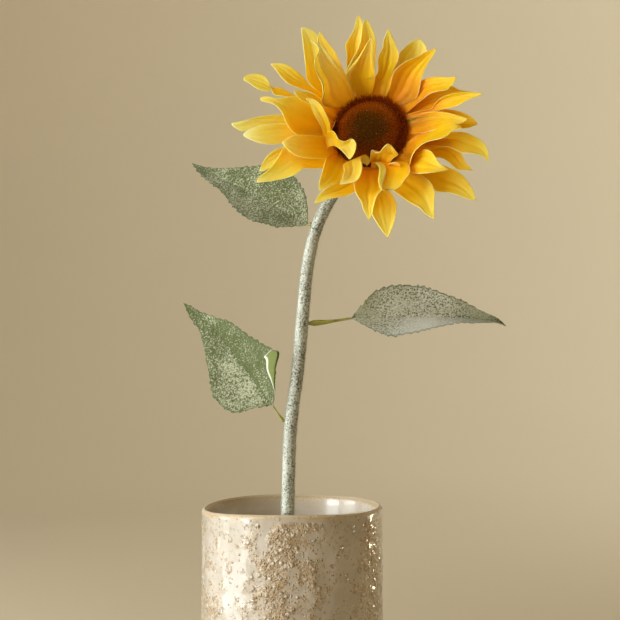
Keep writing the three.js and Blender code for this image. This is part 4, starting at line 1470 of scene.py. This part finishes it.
def leaf_grid(leaf, seed):
    """The middle surface of a leaf whose outline and midrib are drawn from the front. Depths are
    the midrib's cubic curve's, less the fold's slope times the distance from it. On the right
    hand, near the base, the margin goes out to the outline and some way back in front of itself."""
    s = np.linspace(0, 1, LEAF_ROWS)[:, None]
    t = crowded_steps(LEAF_COLUMNS)
    drawn = (leaf["midrib"], leaf["left"], leaf["right"])
    midrib, left, right = [smooth_path(spots, LEAF_ROWS + 1)[:-1] for spots in drawn]
    half = np.where((t < 0)[..., None], (right - midrib)[:, None], (left - midrib)[:, None])
    first, full, last, end = FLAP_RANGE
    flap = leaf["flap"] * smooth((s - first) / (full - first)) * smooth((end - s) / (end - last))
    flap = np.where(t < 0, flap, 0)
    path = np.abs(t) * (1 + flap)
    across = 1 - np.abs(1 - path)
    base, tip = np.array(leaf["base"]), np.array(leaf["tip"])
    width = (base[1] - EYE[1]) / leaf["drawing"][2] * np.linalg.norm(half, axis=-1)
    tooth = leaf_tooth(s, t, seed) * (flap < 0.02) / np.maximum(width, 1)
    spots = midrib[:, None] + half * (across + tooth)[..., None]
    handle = CURVE_HANDLE * np.linalg.norm(tip - base)
    second = base + handle * unit(np.array(leaf["leave"]))
    third = tip - handle * unit(np.array(leaf["arrive"]))
    place = bezier([base, second, third, tip], s)
    near, far = [np.where(t < 0, leaf["folds"][0][k], leaf["folds"][1][k]) for k in (0, 1)]
    slope = rad(near + (far - near) * s + LEAF_CURL * across)
    folded = np.tan(slope) * width * (across + tooth)
    depth = place[:, 1:2] - np.clip(folded, -FOLD_REACH, FOLD_REACH)
    depth = depth - FLAP_GAP * smooth((path - 0.95) / 0.3) * np.minimum(flap / 0.05, 1)
    depth = depth - leaf_relief(s, t, seed)
    grid = EYE + sight(leaf["drawing"], spots) * (depth - EYE[1])[..., None]
    return grid, s + 0 * t, t + 0 * s


def leaf_shell(grid, s, t, thickness):
    """A leaf's sheet with rounded edges. It thins evenly to about two thirds at its tip."""
    cloth = thickness / MM / 2
    half = cloth * np.sqrt(1 - t**12) * (1 - 0.35 * s)
    return shell(grid, half, s, t)


def stalk_path(leaf, count):
    """From the stem's side straight to the leaf's base, its start drawn back by as much as its
    slanted end would dip into the stem."""
    samples, above_joints = 2000, 437
    stem = stem_path(samples)
    index = np.argmin(np.abs(stem[:, 2] - leaf["joint"]) + 1e6 * (stem[:, 2] > above_joints))
    joint, grain = stem[index], unit(stem[index + 1] - stem[index - 1])
    base = np.array(leaf["base"])
    to_leaf = base - joint
    sideways = unit(to_leaf - (to_leaf @ grain) * grain)
    slant = np.arccos(np.clip(sideways @ unit(to_leaf), -1, 1))
    outside = stem_radius(index / samples) - STALK_SINK + leaf["stalk"] * np.sin(slant)
    start = joint + sideways * outside
    end = base - unit(np.array(leaf["leave"])) * STALK_GAP * 0.2
    share = np.linspace(0, 1, count)[:, None]
    sag = np.array([0, 0, -STALK_SAG]) * np.sin(np.pi * share)
    return start + (end - start) * share + sag


# Vase


def vase_profile():
    """(radius, height) from under the foot, up the outside, over the lip, down the inside and
    across the floor. The mouth's inside flares by a square curve towards the lip."""
    inner = VASE_RADIUS - VASE_WALL
    lip = VASE_WALL / 2
    lip_height = VASE_HEIGHT - lip
    corner = VASE_FLOOR + VASE_INNER_CORNER
    foot = (VASE_RADIUS - VASE_FOOT_RADIUS, VASE_FOOT_RISE)
    outside = np.concatenate([
        line((0, 0), (VASE_FOOT_RADIUS, 0), 5),
        arc((VASE_FOOT_RADIUS, VASE_FOOT_RISE), foot, -90, 0, 6),
        line((VASE_RADIUS, VASE_FOOT_RISE), (VASE_RADIUS, lip_height), VASE_WALL_ROWS),
        arc((inner + lip, lip_height), (lip, lip), 0, 90, 7),
    ])
    profile = np.concatenate([
        outside,
        arc((inner + lip, lip_height), (lip, lip), 105, 180, 6),
        line((inner, lip_height), (inner, corner), VASE_INNER_ROWS),
        arc((inner - VASE_INNER_CORNER, corner), (VASE_INNER_CORNER, VASE_INNER_CORNER), 0, -90, 5),
        line((inner - VASE_INNER_CORNER, VASE_FLOOR), (0, VASE_FLOOR), 5),
    ])
    within = np.arange(len(profile)) >= len(outside)
    depth = np.clip((profile[:, 1] - (VASE_HEIGHT - MOUTH_FLARE_DEPTH)) / MOUTH_FLARE_DEPTH, 0, 1)
    profile[:, 0] += MOUTH_FLARE * depth**2 * within
    return profile, within


def crustiness(facing, height):
    """How crusty the outside glaze is, 0 to 1. It is thickest in a wavering upright band at the
    front and in one at the right, thinnest between them, and patchy everywhere. facing is degrees
    round from the front. Smooth glaze runs down from the lip to uneven depths."""
    around = facing / 360 + 0.5
    patches = noise(height / 26, around * 18, SEED + 5, 18)
    torn = noise(height / 6, around * 60, SEED + 6, 60)
    runs = noise(height / 60, around * 46, SEED + 4, 46)
    front = bell(facing + 2 - 8 * np.sin(height / 30), 12)
    right = bell(facing - 61, 9)
    calm = bell(facing - 32, 14) + 0.6 * bell(facing + 40, 15)
    level = 0.36 + 0.28 * patches + 0.42 * torn + 0.55 * front + 0.45 * right - 0.40 * calm
    top = smooth((VASE_HEIGHT - 3.5 - height - 12 * np.maximum(runs, 0)) / 4)
    return smooth(level) * top


def vase_patch(settings):
    """The turned vase with its glaze's relief: lumps from two noises, as high as the glaze is
    crusty, and low upright runs. The mouth is a little uneven. The tint marks the lip's top."""
    profile, within = vase_profile()
    patch = turned(profile, VASE_AROUND)
    x, y, z = patch.points.T
    angle, radius = np.arctan2(y, x), np.hypot(x, y)
    facing = (np.degrees(angle) + 90 + 180) % 360 - 180
    inside = np.concatenate([np.repeat(within, VASE_AROUND), [False, True]])
    wall = ~inside & (z > VASE_FOOT_RISE) & (radius > VASE_FOOT_RADIUS)
    crust = crustiness(facing, z) * wall
    around = facing / 360 + 0.5
    lumps = np.abs(noise(z / 4.6, around * 84, SEED + 7, 84))
    lumps = lumps + 0.5 * noise(z / 2.6, around * 150, SEED + 8, 150)
    drips = noise(z / 40, around * 50, SEED + 9, 50)
    relief = settings.relief_depth / MM * (crust * (0.2 + lumps) + 0.4 * drips * wall)
    seated = smooth((z - VASE_FOOT_RISE) / 6) * smooth((VASE_HEIGHT - 1.5 - z) / 5)
    height = z / VASE_HEIGHT
    swell = 1 + VASE_WOBBLE / VASE_RADIUS * height * np.sin(2 * angle + 3 * height)
    rim = RIM_TILT[0] + RIM_TILT[1] * np.cos(angle) + RIM_TILT[2] * np.cos(2 * angle)
    rim = rim + VASE_WOBBLE * np.sin(3 * angle + 0.8)
    rim = smooth((height - RIM_ZONE) / (1 - RIM_ZONE)) * rim
    grow = swell + relief * seated * wall / np.maximum(radius, 1)
    patch.points = np.stack([x * grow, y * grow, z + rim], -1)
    uneven = noise(z / 12, around * 28, SEED + 10, 28)
    outer_lip = smooth((z - (VASE_HEIGHT - 3.6 - 1.2 * uneven)) / 2.6) * ~inside
    inner_lip = smooth((z - (VASE_HEIGHT - 3.6 - 0.6 * uneven)) / 1.8) * inside
    patch.places = np.stack([crust, outer_lip + inner_lip, 1.0 + inside], -1)
    patch.tints = smooth((z - (VASE_HEIGHT - 1.6)) / 1.1)
    return patch


# Operators


class SUNFLOWER_OT_stage(bpy.types.Operator):
    """Makes the studio: a seamless pale floor, soft window light from the left, and the camera"""

    bl_idname = "sunflower.stage"
    bl_label = "Studio"

    camera_lens = 89.65
    floor_flat = 1500
    bowl_radius = 3300
    bowl_sweep = 1400
    bowl_height = 2600
    backdrop_colour = (0.75, 0.655, 0.48)

    def execute(self, context):
        settings = context.scene.sunflower
        self.make_bowl()
        flower = (30, -60, 300)
        day, soft = (0.92, 0.975, 1.0), (1.0, 0.85, 0.57)
        power = settings.window_power
        self.make_light("window_pane_0", -62, 1550, 660, (0.54, 1.3), 1.0 * power, flower, day)
        self.make_light("window_pane_1", -91, 1550, 660, (0.64, 1.3), 0.7 * power, flower, day)
        self.make_light("low_pane", -75, 500, 70, (0.36, 0.06), 0.24, (0, 0, 110), day)
        self.make_light("rear_strip", 119, 1400, 140, (0.13, 0.23), 2.5, (50, 0, 120), soft)
        self.make_light("front_fill", -25, 2400, 1500, (1.8, 1.8), 11.4, flower, soft)
        self.make_light("backdrop_glow", 132, 2100, 1700, (2.2, 2.2), 25.5, (1300, 3200, 800), day)
        world = bpy.data.worlds.new("studio")
        world.use_nodes = True
        sky = world.node_tree.nodes["Background"]
        sky.inputs["Color"].default_value = (1.0, 0.72, 0.34, 1.0)
        sky.inputs["Strength"].default_value = 0.12
        context.scene.world = world
        camera = bpy.data.cameras.new("camera")
        camera.lens = self.camera_lens
        camera.clip_end = 50
        holder = bpy.data.objects.new("camera", camera)
        holder.location = EYE * MM
        holder.rotation_euler = (np.pi / 2, 0, 0)
        context.scene.collection.objects.link(holder)
        context.scene.camera = holder
        context.scene.view_settings.view_transform = "Standard"
        return {"FINISHED"}

    def make_bowl(self):
        """A flat floor that sweeps up into a wall: a line, then a quarter of an ellipse, turned."""
        flat = np.stack([np.linspace(0, self.floor_flat, 8), np.zeros(8)], -1)
        reach = self.bowl_radius - self.floor_flat
        rise = arc((self.floor_flat, self.bowl_sweep), (reach, self.bowl_sweep), -90, 0, 40)[1:]
        wall = np.array([[self.bowl_radius, self.bowl_height]])
        profile = np.concatenate([flat, rise, wall])
        around = 128
        angle = 2 * np.pi * np.arange(around) / around
        rings = np.stack([
            profile[:, :1] * np.cos(angle),
            profile[:, :1] * np.sin(angle),
            np.broadcast_to(profile[:, 1:], (len(profile), around)),
        ], -1)
        quads = ring_quads(len(profile), around)[0]
        mesh = bpy.data.meshes.new("studio_floor")
        mesh.from_pydata((rings.reshape(-1, 3) * MM).tolist(), [], quads.tolist())
        mesh.polygons.foreach_set("use_smooth", np.ones(len(quads), bool))
        mesh.materials.append(plain_studio("studio_paper", self.backdrop_colour))
        floor = bpy.data.objects.new("studio_floor", mesh)
        bpy.context.scene.collection.objects.link(floor)

    def make_light(self, name, facing, distance, height, size, power, aim, colour):
        """A soft panel, facing degrees round from the front and turned towards the aim. Its size is
        in metres and its power in watts."""
        lamp = bpy.data.lights.new(name, "AREA")
        lamp.shape = "RECTANGLE"
        lamp.size, lamp.size_y = size
        lamp.energy = power
        lamp.color = colour
        holder = bpy.data.objects.new(name, lamp)
        turn = rad(facing)
        away = np.array([np.sin(turn), -np.cos(turn), 0])
        place = away * distance * MM + np.array([0, 0, height * MM])
        holder.location = place
        direction = Vector(np.array(aim) * MM - place)
        holder.rotation_euler = direction.to_track_quat("-Z", "Y").to_euler()
        holder.visible_camera = False
        bpy.context.scene.collection.objects.link(holder)


class SUNFLOWER_OT_vase(bpy.types.Operator):
    """Makes the glazed stoneware vase"""

    bl_idname = "sunflower.vase"
    bl_label = "Vase"

    def execute(self, context):
        settings = context.scene.sunflower
        put_piece("vase_body", vase_patch(settings), stoneware(settings), ["vase"])
        return {"FINISHED"}


class SUNFLOWER_OT_stem(bpy.types.Operator):
    """Makes the flocked stem and its fibres"""

    bl_idname = "sunflower.stem"
    bl_label = "Stem"

    # The side of the stem that faces the window light, and how much more pale flock is painted on
    # it as light
    lit_side_turn = 2.9
    least_flock = 0.535
    painted_light_flock = 0.24
    bare_below = 150

    def execute(self, context):
        settings = context.scene.sunflower
        rng = np.random.default_rng(SEED + 20)
        rings = stem_rings()
        rows, sides = rings.shape[:2]
        along = np.broadcast_to(np.linspace(0, 1, rows)[:, None], (rows, sides))
        places = np.stack([along, 0 * along, np.ones_like(along)], -1)
        skin = flocked("flocked_stem", *STEM_COLOURS, None)
        body = closed_surface(rings, places)
        # Painted light: the flock grows thicker and paler round the stem's side that faces the
        # window
        turn = np.tile(2 * np.pi * np.arange(sides) / sides, rows)
        side = smooth((np.cos(turn - self.lit_side_turn) - 0.1) / 0.8)
        thick = self.least_flock + self.painted_light_flock * side
        body.tints[:-2] = thick
        put_piece("stem_body", body, skin, ["stem"])
        shown = rings[rings[:, 0, 2] > self.bare_below]
        roots, normals = scatter(np.concatenate([shown, shown[:, :1]], 1), STEM_FIBRES, rng)
        facing = np.arctan2(normals[:, 1], normals[:, 0])
        clump = noise(roots[:, 2] / 1.3, facing * 5 + 40, SEED + 2)
        length = settings.flock_length / MM * rng.uniform(0.5, 1.1, STEM_FIBRES)
        length = length * (1.2 + 0.8 * clump)
        directions = leaning(normals, 0.6, rng)
        widths = rng.uniform(0.13, 0.22, STEM_FIBRES)
        hair = fibres(roots - normals * 0.1, directions, length, widths, rng)
        pale = fibre_material("pale_flock", *STEM_FIBRE_COLOURS)
        put_piece("stem_flock", hair, pale)
        return {"FINISHED"}


class SUNFLOWER_OT_leaves(bpy.types.Operator):
    """Makes the three flocked leaves and their fibres"""

    bl_idname = "sunflower.leaves"
    bl_label = "Leaves"

    def execute(self, context):
        settings = context.scene.sunflower
        cloth = flocked("flocked_leaf", settings.flock_dark, settings.flock_light, None, LEAF_BACK)
        pale = fibre_material("leaf_flock", *LEAF_FIBRE_COLOURS)
        for number, (name, leaf) in enumerate(LEAVES.items()):
            rng = np.random.default_rng(SEED + 30 + number)
            grid, s, t = leaf_grid(leaf, SEED + 40 + 5 * number)
            body = leaf_shell(grid, s, t, settings.leaf_thickness)
            along, across = body.places[:, 0], body.places[:, 1]
            # The tints set how thick and pale the flock is; the right leaf's high values paint
            # light on its half that faces up
            upper, lower = [along_stations(flock_and_painted_light, along) for flock_and_painted_light in leaf["flock_and_painted_light"]]
            body.tints = upper + (lower - upper) * smooth(across * 6 + 0.5)
            # Painted shade along the groove of the midrib
            body.tints = body.tints - leaf["rib_groove_shade"] * bell(across + 0.05, 0.045)
            put_piece(f"leaf_{name}_body", body, cloth, [f"leaf_{name}"])
            roots, normals = scatter(grid, LEAF_FIBRES, rng)
            face = np.where(rng.random(LEAF_FIBRES) < 0.8, 1.0, -1.0)[:, None]
            directions = leaning(normals * face, 0.6, rng)
            lengths = settings.flock_length / MM * rng.uniform(0.7, 1.3, LEAF_FIBRES)
            widths = rng.uniform(0.10, 0.18, LEAF_FIBRES)
            hair = fibres(roots, directions, lengths, widths, rng)
            put_piece(f"leaf_{name}_flock", hair, pale)
        return {"FINISHED"}


class SUNFLOWER_OT_stalks(bpy.types.Operator):
    """Makes the leaves' smooth stalks"""

    bl_idname = "sunflower.stalks"
    bl_label = "Stalks"

    def execute(self, context):
        plastic = moulded_plastic("olive_plastic", *STALK_COLOURS, 0.34)
        for name, leaf in LEAVES.items():
            share = np.linspace(0, 1, STALK_ROWS)[:, None]
            # The radius swells by smoothstep out of the stem, then thins towards the leaf
            radius = leaf["stalk"] * (1 - 0.58 * smooth((share - 0.15) / 0.6))
            radius = radius * (0.55 + 0.45 * smooth(share / 0.14))
            path = stalk_path(leaf, STALK_ROWS)
            patch = tube(path, radius, STALK_SIDES, ACROSS_Y)
            put_piece(f"stalk_{name}_body", patch, plastic, [f"stalk_{name}"])
        return {"FINISHED"}


class SUNFLOWER_OT_petals(bpy.types.Operator):
    """Makes the three layers of petals"""

    bl_idname = "sunflower.petals"
    bl_label = "Petals"

    def execute(self, context):
        settings = context.scene.sunflower
        satin = satin_petals(settings)
        for number, (layer, shapes) in enumerate(PETALS.items()):
            rng = np.random.default_rng(SEED + 60 + number)
            height = LAYER_HEIGHTS[layer]
            patches = [petal_patch(shape, height, settings, rng) for shape in shapes]
            whole = joined([*patches, on_head(hub_patch(height))])
            put_piece(f"petals_{layer}", whole, satin, [f"petal_layer_{layer}"])
        return {"FINISHED"}


class SUNFLOWER_OT_disc(bpy.types.Operator):
    """Makes the disc with its pile, and the ring of dark bristles round it"""

    bl_idname = "sunflower.disc"
    bl_label = "Disc"

    pile_count = 15000
    bristle_count = 2600
    pressed_side = (-150, -50)
    pressed_share = 0.45
    golden_angle = 137.508
    pile_sink = 0.9
    speck_count = 150
    speck_width = 0.26
    core_share = 0.62
    rim_share = 0.90

    def execute(self, context):
        settings = context.scene.sunflower
        rng = np.random.default_rng(SEED + 80)
        self.make_ground()
        # Roots follow a spiral over the dome: each is a golden angle further round, and its radius
        # goes by the square root of its number. The fibres stand square to the dome
        n = np.arange(self.pile_count) + 0.5
        radius = DISC_RADIUS * np.sqrt(n / self.pile_count)
        angle = n * rad(self.golden_angle) + rng.normal(0, 0.02, self.pile_count)
        rise = DISC_DOME - DISC_EDGE
        share = radius / DISC_RADIUS
        dome = np.sqrt(1 - np.clip(share, 0, 0.995) ** 2)
        rooted = DISC_EDGE + rise * dome - self.pile_sink
        roots = np.stack([radius * np.cos(angle), radius * np.sin(angle), rooted], -1)
        lean = share * rise / DISC_RADIUS / dome
        slopes = np.stack([np.cos(angle) * lean, np.sin(angle) * lean, np.ones_like(lean)], -1)
        normals = unit(slopes)
        ragged = self.core_share + 0.03 * np.sin(3 * angle + 1)
        ragged = ragged + rng.normal(0, 0.15, self.pile_count)
        inner = share < ragged
        outer = self.rim_share + rng.normal(0, 0.04, self.pile_count)
        zones = {
            "core": (inner, *CORE_COLOURS),
            "rust": (~inner & (share <= outer), *RUST_COLOURS),
            "rim": (~inner & (share > outer), *RIM_COLOURS),
        }
        for name, (chosen, dark, light) in zones.items():
            some = chosen.sum()
            directions = leaning(normals[chosen], 0.22, rng)
            lengths = settings.pile_length / MM * rng.uniform(0.75, 1.15, some)
            hair = fibres(roots[chosen], directions, lengths, rng.uniform(0.22, 0.34, some), rng)
            colour = fibre_material(f"{name}_pile", dark, light, 0.9, 0.05, 0.0)
            put_piece(f"disc_{name}_pile", on_head(hair), colour)
        self.make_bristles(settings, rng)
        some = self.speck_count
        pick = rng.choice(self.pile_count, some, replace=False)
        high = roots[pick] + normals[pick] * settings.pile_length / MM
        directions = leaning(normals[pick], 1.0, rng)
        widths = np.full(some, self.speck_width)
        specks = fibres(high, directions, rng.uniform(0.3, 0.6, some), widths, rng)
        dust = fibre_material("pale_specks", *SPECK_COLOURS, 0.8, 0.2, 0.0)
        put_piece("disc_specks", on_head(specks), dust)
        return {"FINISHED"}

    def make_ground(self):
        """The dome under the pile: a quarter of an ellipse, turned, with low lumps by noise."""
        radii = (DISC_RADIUS - 0.2, DISC_DOME - DISC_EDGE - 0.3)
        dome = arc((0, DISC_EDGE - 0.5), radii, 0, 88, 40)
        profile = np.concatenate([line((0, 0), (radii[0], 0), 4), dome])

        def lumps(points, angle):
            wobble = noise(points[:, 1:] * 1.2, angle / (2 * np.pi) * 60, SEED + 81, 60)
            return 0.15 * wobble * (points[:, :1] > 1)

        ground = dark_velvet("disc_ground", *DISC_GROUND_COLOURS)
        piece = on_head(turned(profile, 180, lumps))
        put_piece("disc_ground", piece, ground, ["seed_disc"])

    def make_bristles(self, settings, rng):
        """A flattened ring, an ellipse carried round the disc, and bristles on it that lean out
        more the further out they stand, and are shorter where the lower petals press on them."""
        inner = DISC_RADIUS + CLEARANCE
        middle, half = (inner + FRINGE_RADIUS - 0.8) / 2, (FRINGE_RADIUS - 0.8 - inner) / 2
        around, sides = 160, 16
        ring = arc((middle, 0.9), (half, 0.9), 0, 360, sides + 1)[:-1]
        angle = 2 * np.pi * np.arange(around) / around
        points = np.stack([
            ring[None, :, 0] * np.cos(angle)[:, None],
            ring[None, :, 0] * np.sin(angle)[:, None],
            np.broadcast_to(ring[:, 1], (around, sides)),
        ], -1)
        quads, i, j = ring_quads(around, sides, closed=True)
        corners = [(i, j), (i + 1, j), (i + 1, j + 1), (i, j + 1)]
        spots = np.stack([np.stack([a / around, b / sides], -1) for a, b in corners], 1)
        count = around * sides
        flat = Patch(
            points.reshape(-1, 3), quads, np.zeros((0, 3), int),
            np.zeros((count, 3)), np.zeros(count), spots, np.zeros((0, 3, 2)),
        )
        dark = dark_velvet("fringe_ground", *FRINGE_GROUND_COLOURS)
        put_piece("fringe_ground", on_head(flat), dark, ["disc_fringe"])
        some = self.bristle_count
        turn = rng.uniform(0, 2 * np.pi, some)
        radius = rng.uniform(inner - 0.6, FRINGE_RADIUS - 0.6, some)
        radial = np.stack([np.cos(turn), np.sin(turn), 0 * turn], -1)
        sideways = np.stack([-np.sin(turn), np.cos(turn), 0 * turn], -1)
        outward = (radius - middle) / half * 0.4 + rng.normal(0.28, 0.18, some)
        up = np.array([0, 0, 1.0])
        aside = rng.normal(0, 0.2, some)
        directions = unit(up + radial * outward[:, None] + sideways * aside[:, None])
        roots = radial * radius[:, None] + up * 0.6
        facing = np.degrees(np.arctan2(np.sin(turn), np.cos(turn)))
        start, end = self.pressed_side
        pressed = np.where((facing > start) & (facing < end), self.pressed_share, 1.0)
        lengths = settings.bristle_length / MM * rng.uniform(0.6, 1.05, some) * pressed
        hair = fibres(roots, directions, lengths, rng.uniform(0.35, 0.55, some), rng)
        colour = fibre_material("dark_bristles", *BRISTLE_COLOURS, 0.75, 0.1, 0.0)
        put_piece("fringe_bristles", on_head(hair), colour)


class SUNFLOWER_OT_calyx(bpy.types.Operator):
    """Makes the cup and the felt sepals behind the petals"""

    bl_idname = "sunflower.calyx"
    bl_label = "Calyx"

    def execute(self, context):
        felt = flocked("sepal_felt", *SEPAL_COLOURS, 0.5)
        hub = plate(CUP_RADIUS + 2, SEPAL_HEIGHT, SEPAL_THICKNESS, 72)
        patches = [self.sepal(index) for index in range(SEPAL_COUNT)]
        put_piece("sepals", on_head(joined([*patches, hub])), felt, ["sepal_ring"])
        # The cup's side is a quarter of an ellipse, turned, with ribs by a cosine of the angle
        bottom = -NECK_LENGTH + CLEARANCE / 2
        radii = (CUP_RADIUS - CUP_NECK_RADIUS, CUP_TOP - bottom)
        flare = arc((CUP_NECK_RADIUS, CUP_TOP), radii, -90, 0, 36)
        underside = line((0, bottom), (CUP_NECK_RADIUS, bottom), 3)
        profile = np.concatenate([underside, flare, [[3, CUP_TOP]]])

        def ribs(points, angle):
            share = np.clip((points[:, 1:] - bottom) / (CUP_TOP - bottom), 0, 1)
            return 0.45 * np.cos(CUP_RIBS * angle) * np.sin(np.pi * share) * (points[:, :1] > 5)

        green = moulded_plastic("calyx_green", *CALYX_COLOURS, 0.5)
        cup = on_head(turned(profile, 144, ribs))
        put_piece("calyx_body", cup, green, ["calyx_cup"])
        return {"FINISHED"}

    def sepal(self, index):
        """A pointed blade: its half width falls by a power of its length, its height by a square,
        and it folds a little along its middle."""
        s = np.linspace(0, 1, SEPAL_ROWS)[:, None]
        t = crowded_steps(SEPAL_COLUMNS)
        inner = index % 2 == 0
        reach = SEPAL_REACH - SEPAL_SHORTER if inner else SEPAL_REACH
        droop = SEPAL_DROOP if inner else SEPAL_DROOP / 2
        radius = CUP_RADIUS - 3 + (reach - CUP_RADIUS + 3) * s
        height = SEPAL_HEIGHT - droop * s * s
        half = SEPAL_HALF_WIDTH * (1 - s**1.7) + SEPAL_TIP_HALF
        fold = SEPAL_FOLD * np.abs(t) * np.sin(np.pi * s)
        vein = 0.2 * bell(t, 0.1) * np.sin(np.pi * s)
        grid = np.stack([radius + 0 * t, t * half, height - fold + vein], -1)
        turn = rad(360 * index / SEPAL_COUNT)
        cos, sin = np.cos(turn), np.sin(turn)
        spin = np.array([[cos, sin, 0], [-sin, cos, 0], [0, 0, 1]])
        thick = SEPAL_THICKNESS / 2 * np.sqrt(1 - t**10) + 0 * s
        return shell(grid @ spin, thick, s + 0 * t, t + 0 * s)


class SUNFLOWER_PT_panel(bpy.types.Panel):
    """Lists the flower's pieces and their settings"""

    bl_label = "Sunflower"
    bl_idname = "SUNFLOWER_PT_panel"
    bl_space_type = "VIEW_3D"
    bl_region_type = "UI"
    bl_category = "Sunflower"

    def draw(self, context):
        settings = context.scene.sunflower
        for name in SunflowerSettings.__annotations__:
            self.layout.prop(settings, name)
        for operator in OPERATORS:
            self.layout.operator(operator.bl_idname)


OPERATORS = (
    SUNFLOWER_OT_stage,
    SUNFLOWER_OT_vase,
    SUNFLOWER_OT_stem,
    SUNFLOWER_OT_leaves,
    SUNFLOWER_OT_stalks,
    SUNFLOWER_OT_petals,
    SUNFLOWER_OT_disc,
    SUNFLOWER_OT_calyx,
)
CLASSES = (SunflowerSettings, *OPERATORS, SUNFLOWER_PT_panel)


def register():
    for cls in CLASSES:
        bpy.utils.register_class(cls)
    bpy.types.Scene.sunflower = bpy.props.PointerProperty(type=SunflowerSettings)


def unregister():
    del bpy.types.Scene.sunflower
    for cls in reversed(CLASSES):
        bpy.utils.unregister_class(cls)


def main():
    register()
    bpy.ops.sunflower.vase()
    bpy.ops.sunflower.stem()
    bpy.ops.sunflower.leaves()
    bpy.ops.sunflower.stalks()
    bpy.ops.sunflower.petals()
    bpy.ops.sunflower.disc()
    bpy.ops.sunflower.calyx()
    bpy.ops.sunflower.stage()


if __name__ == "__main__":
    main()
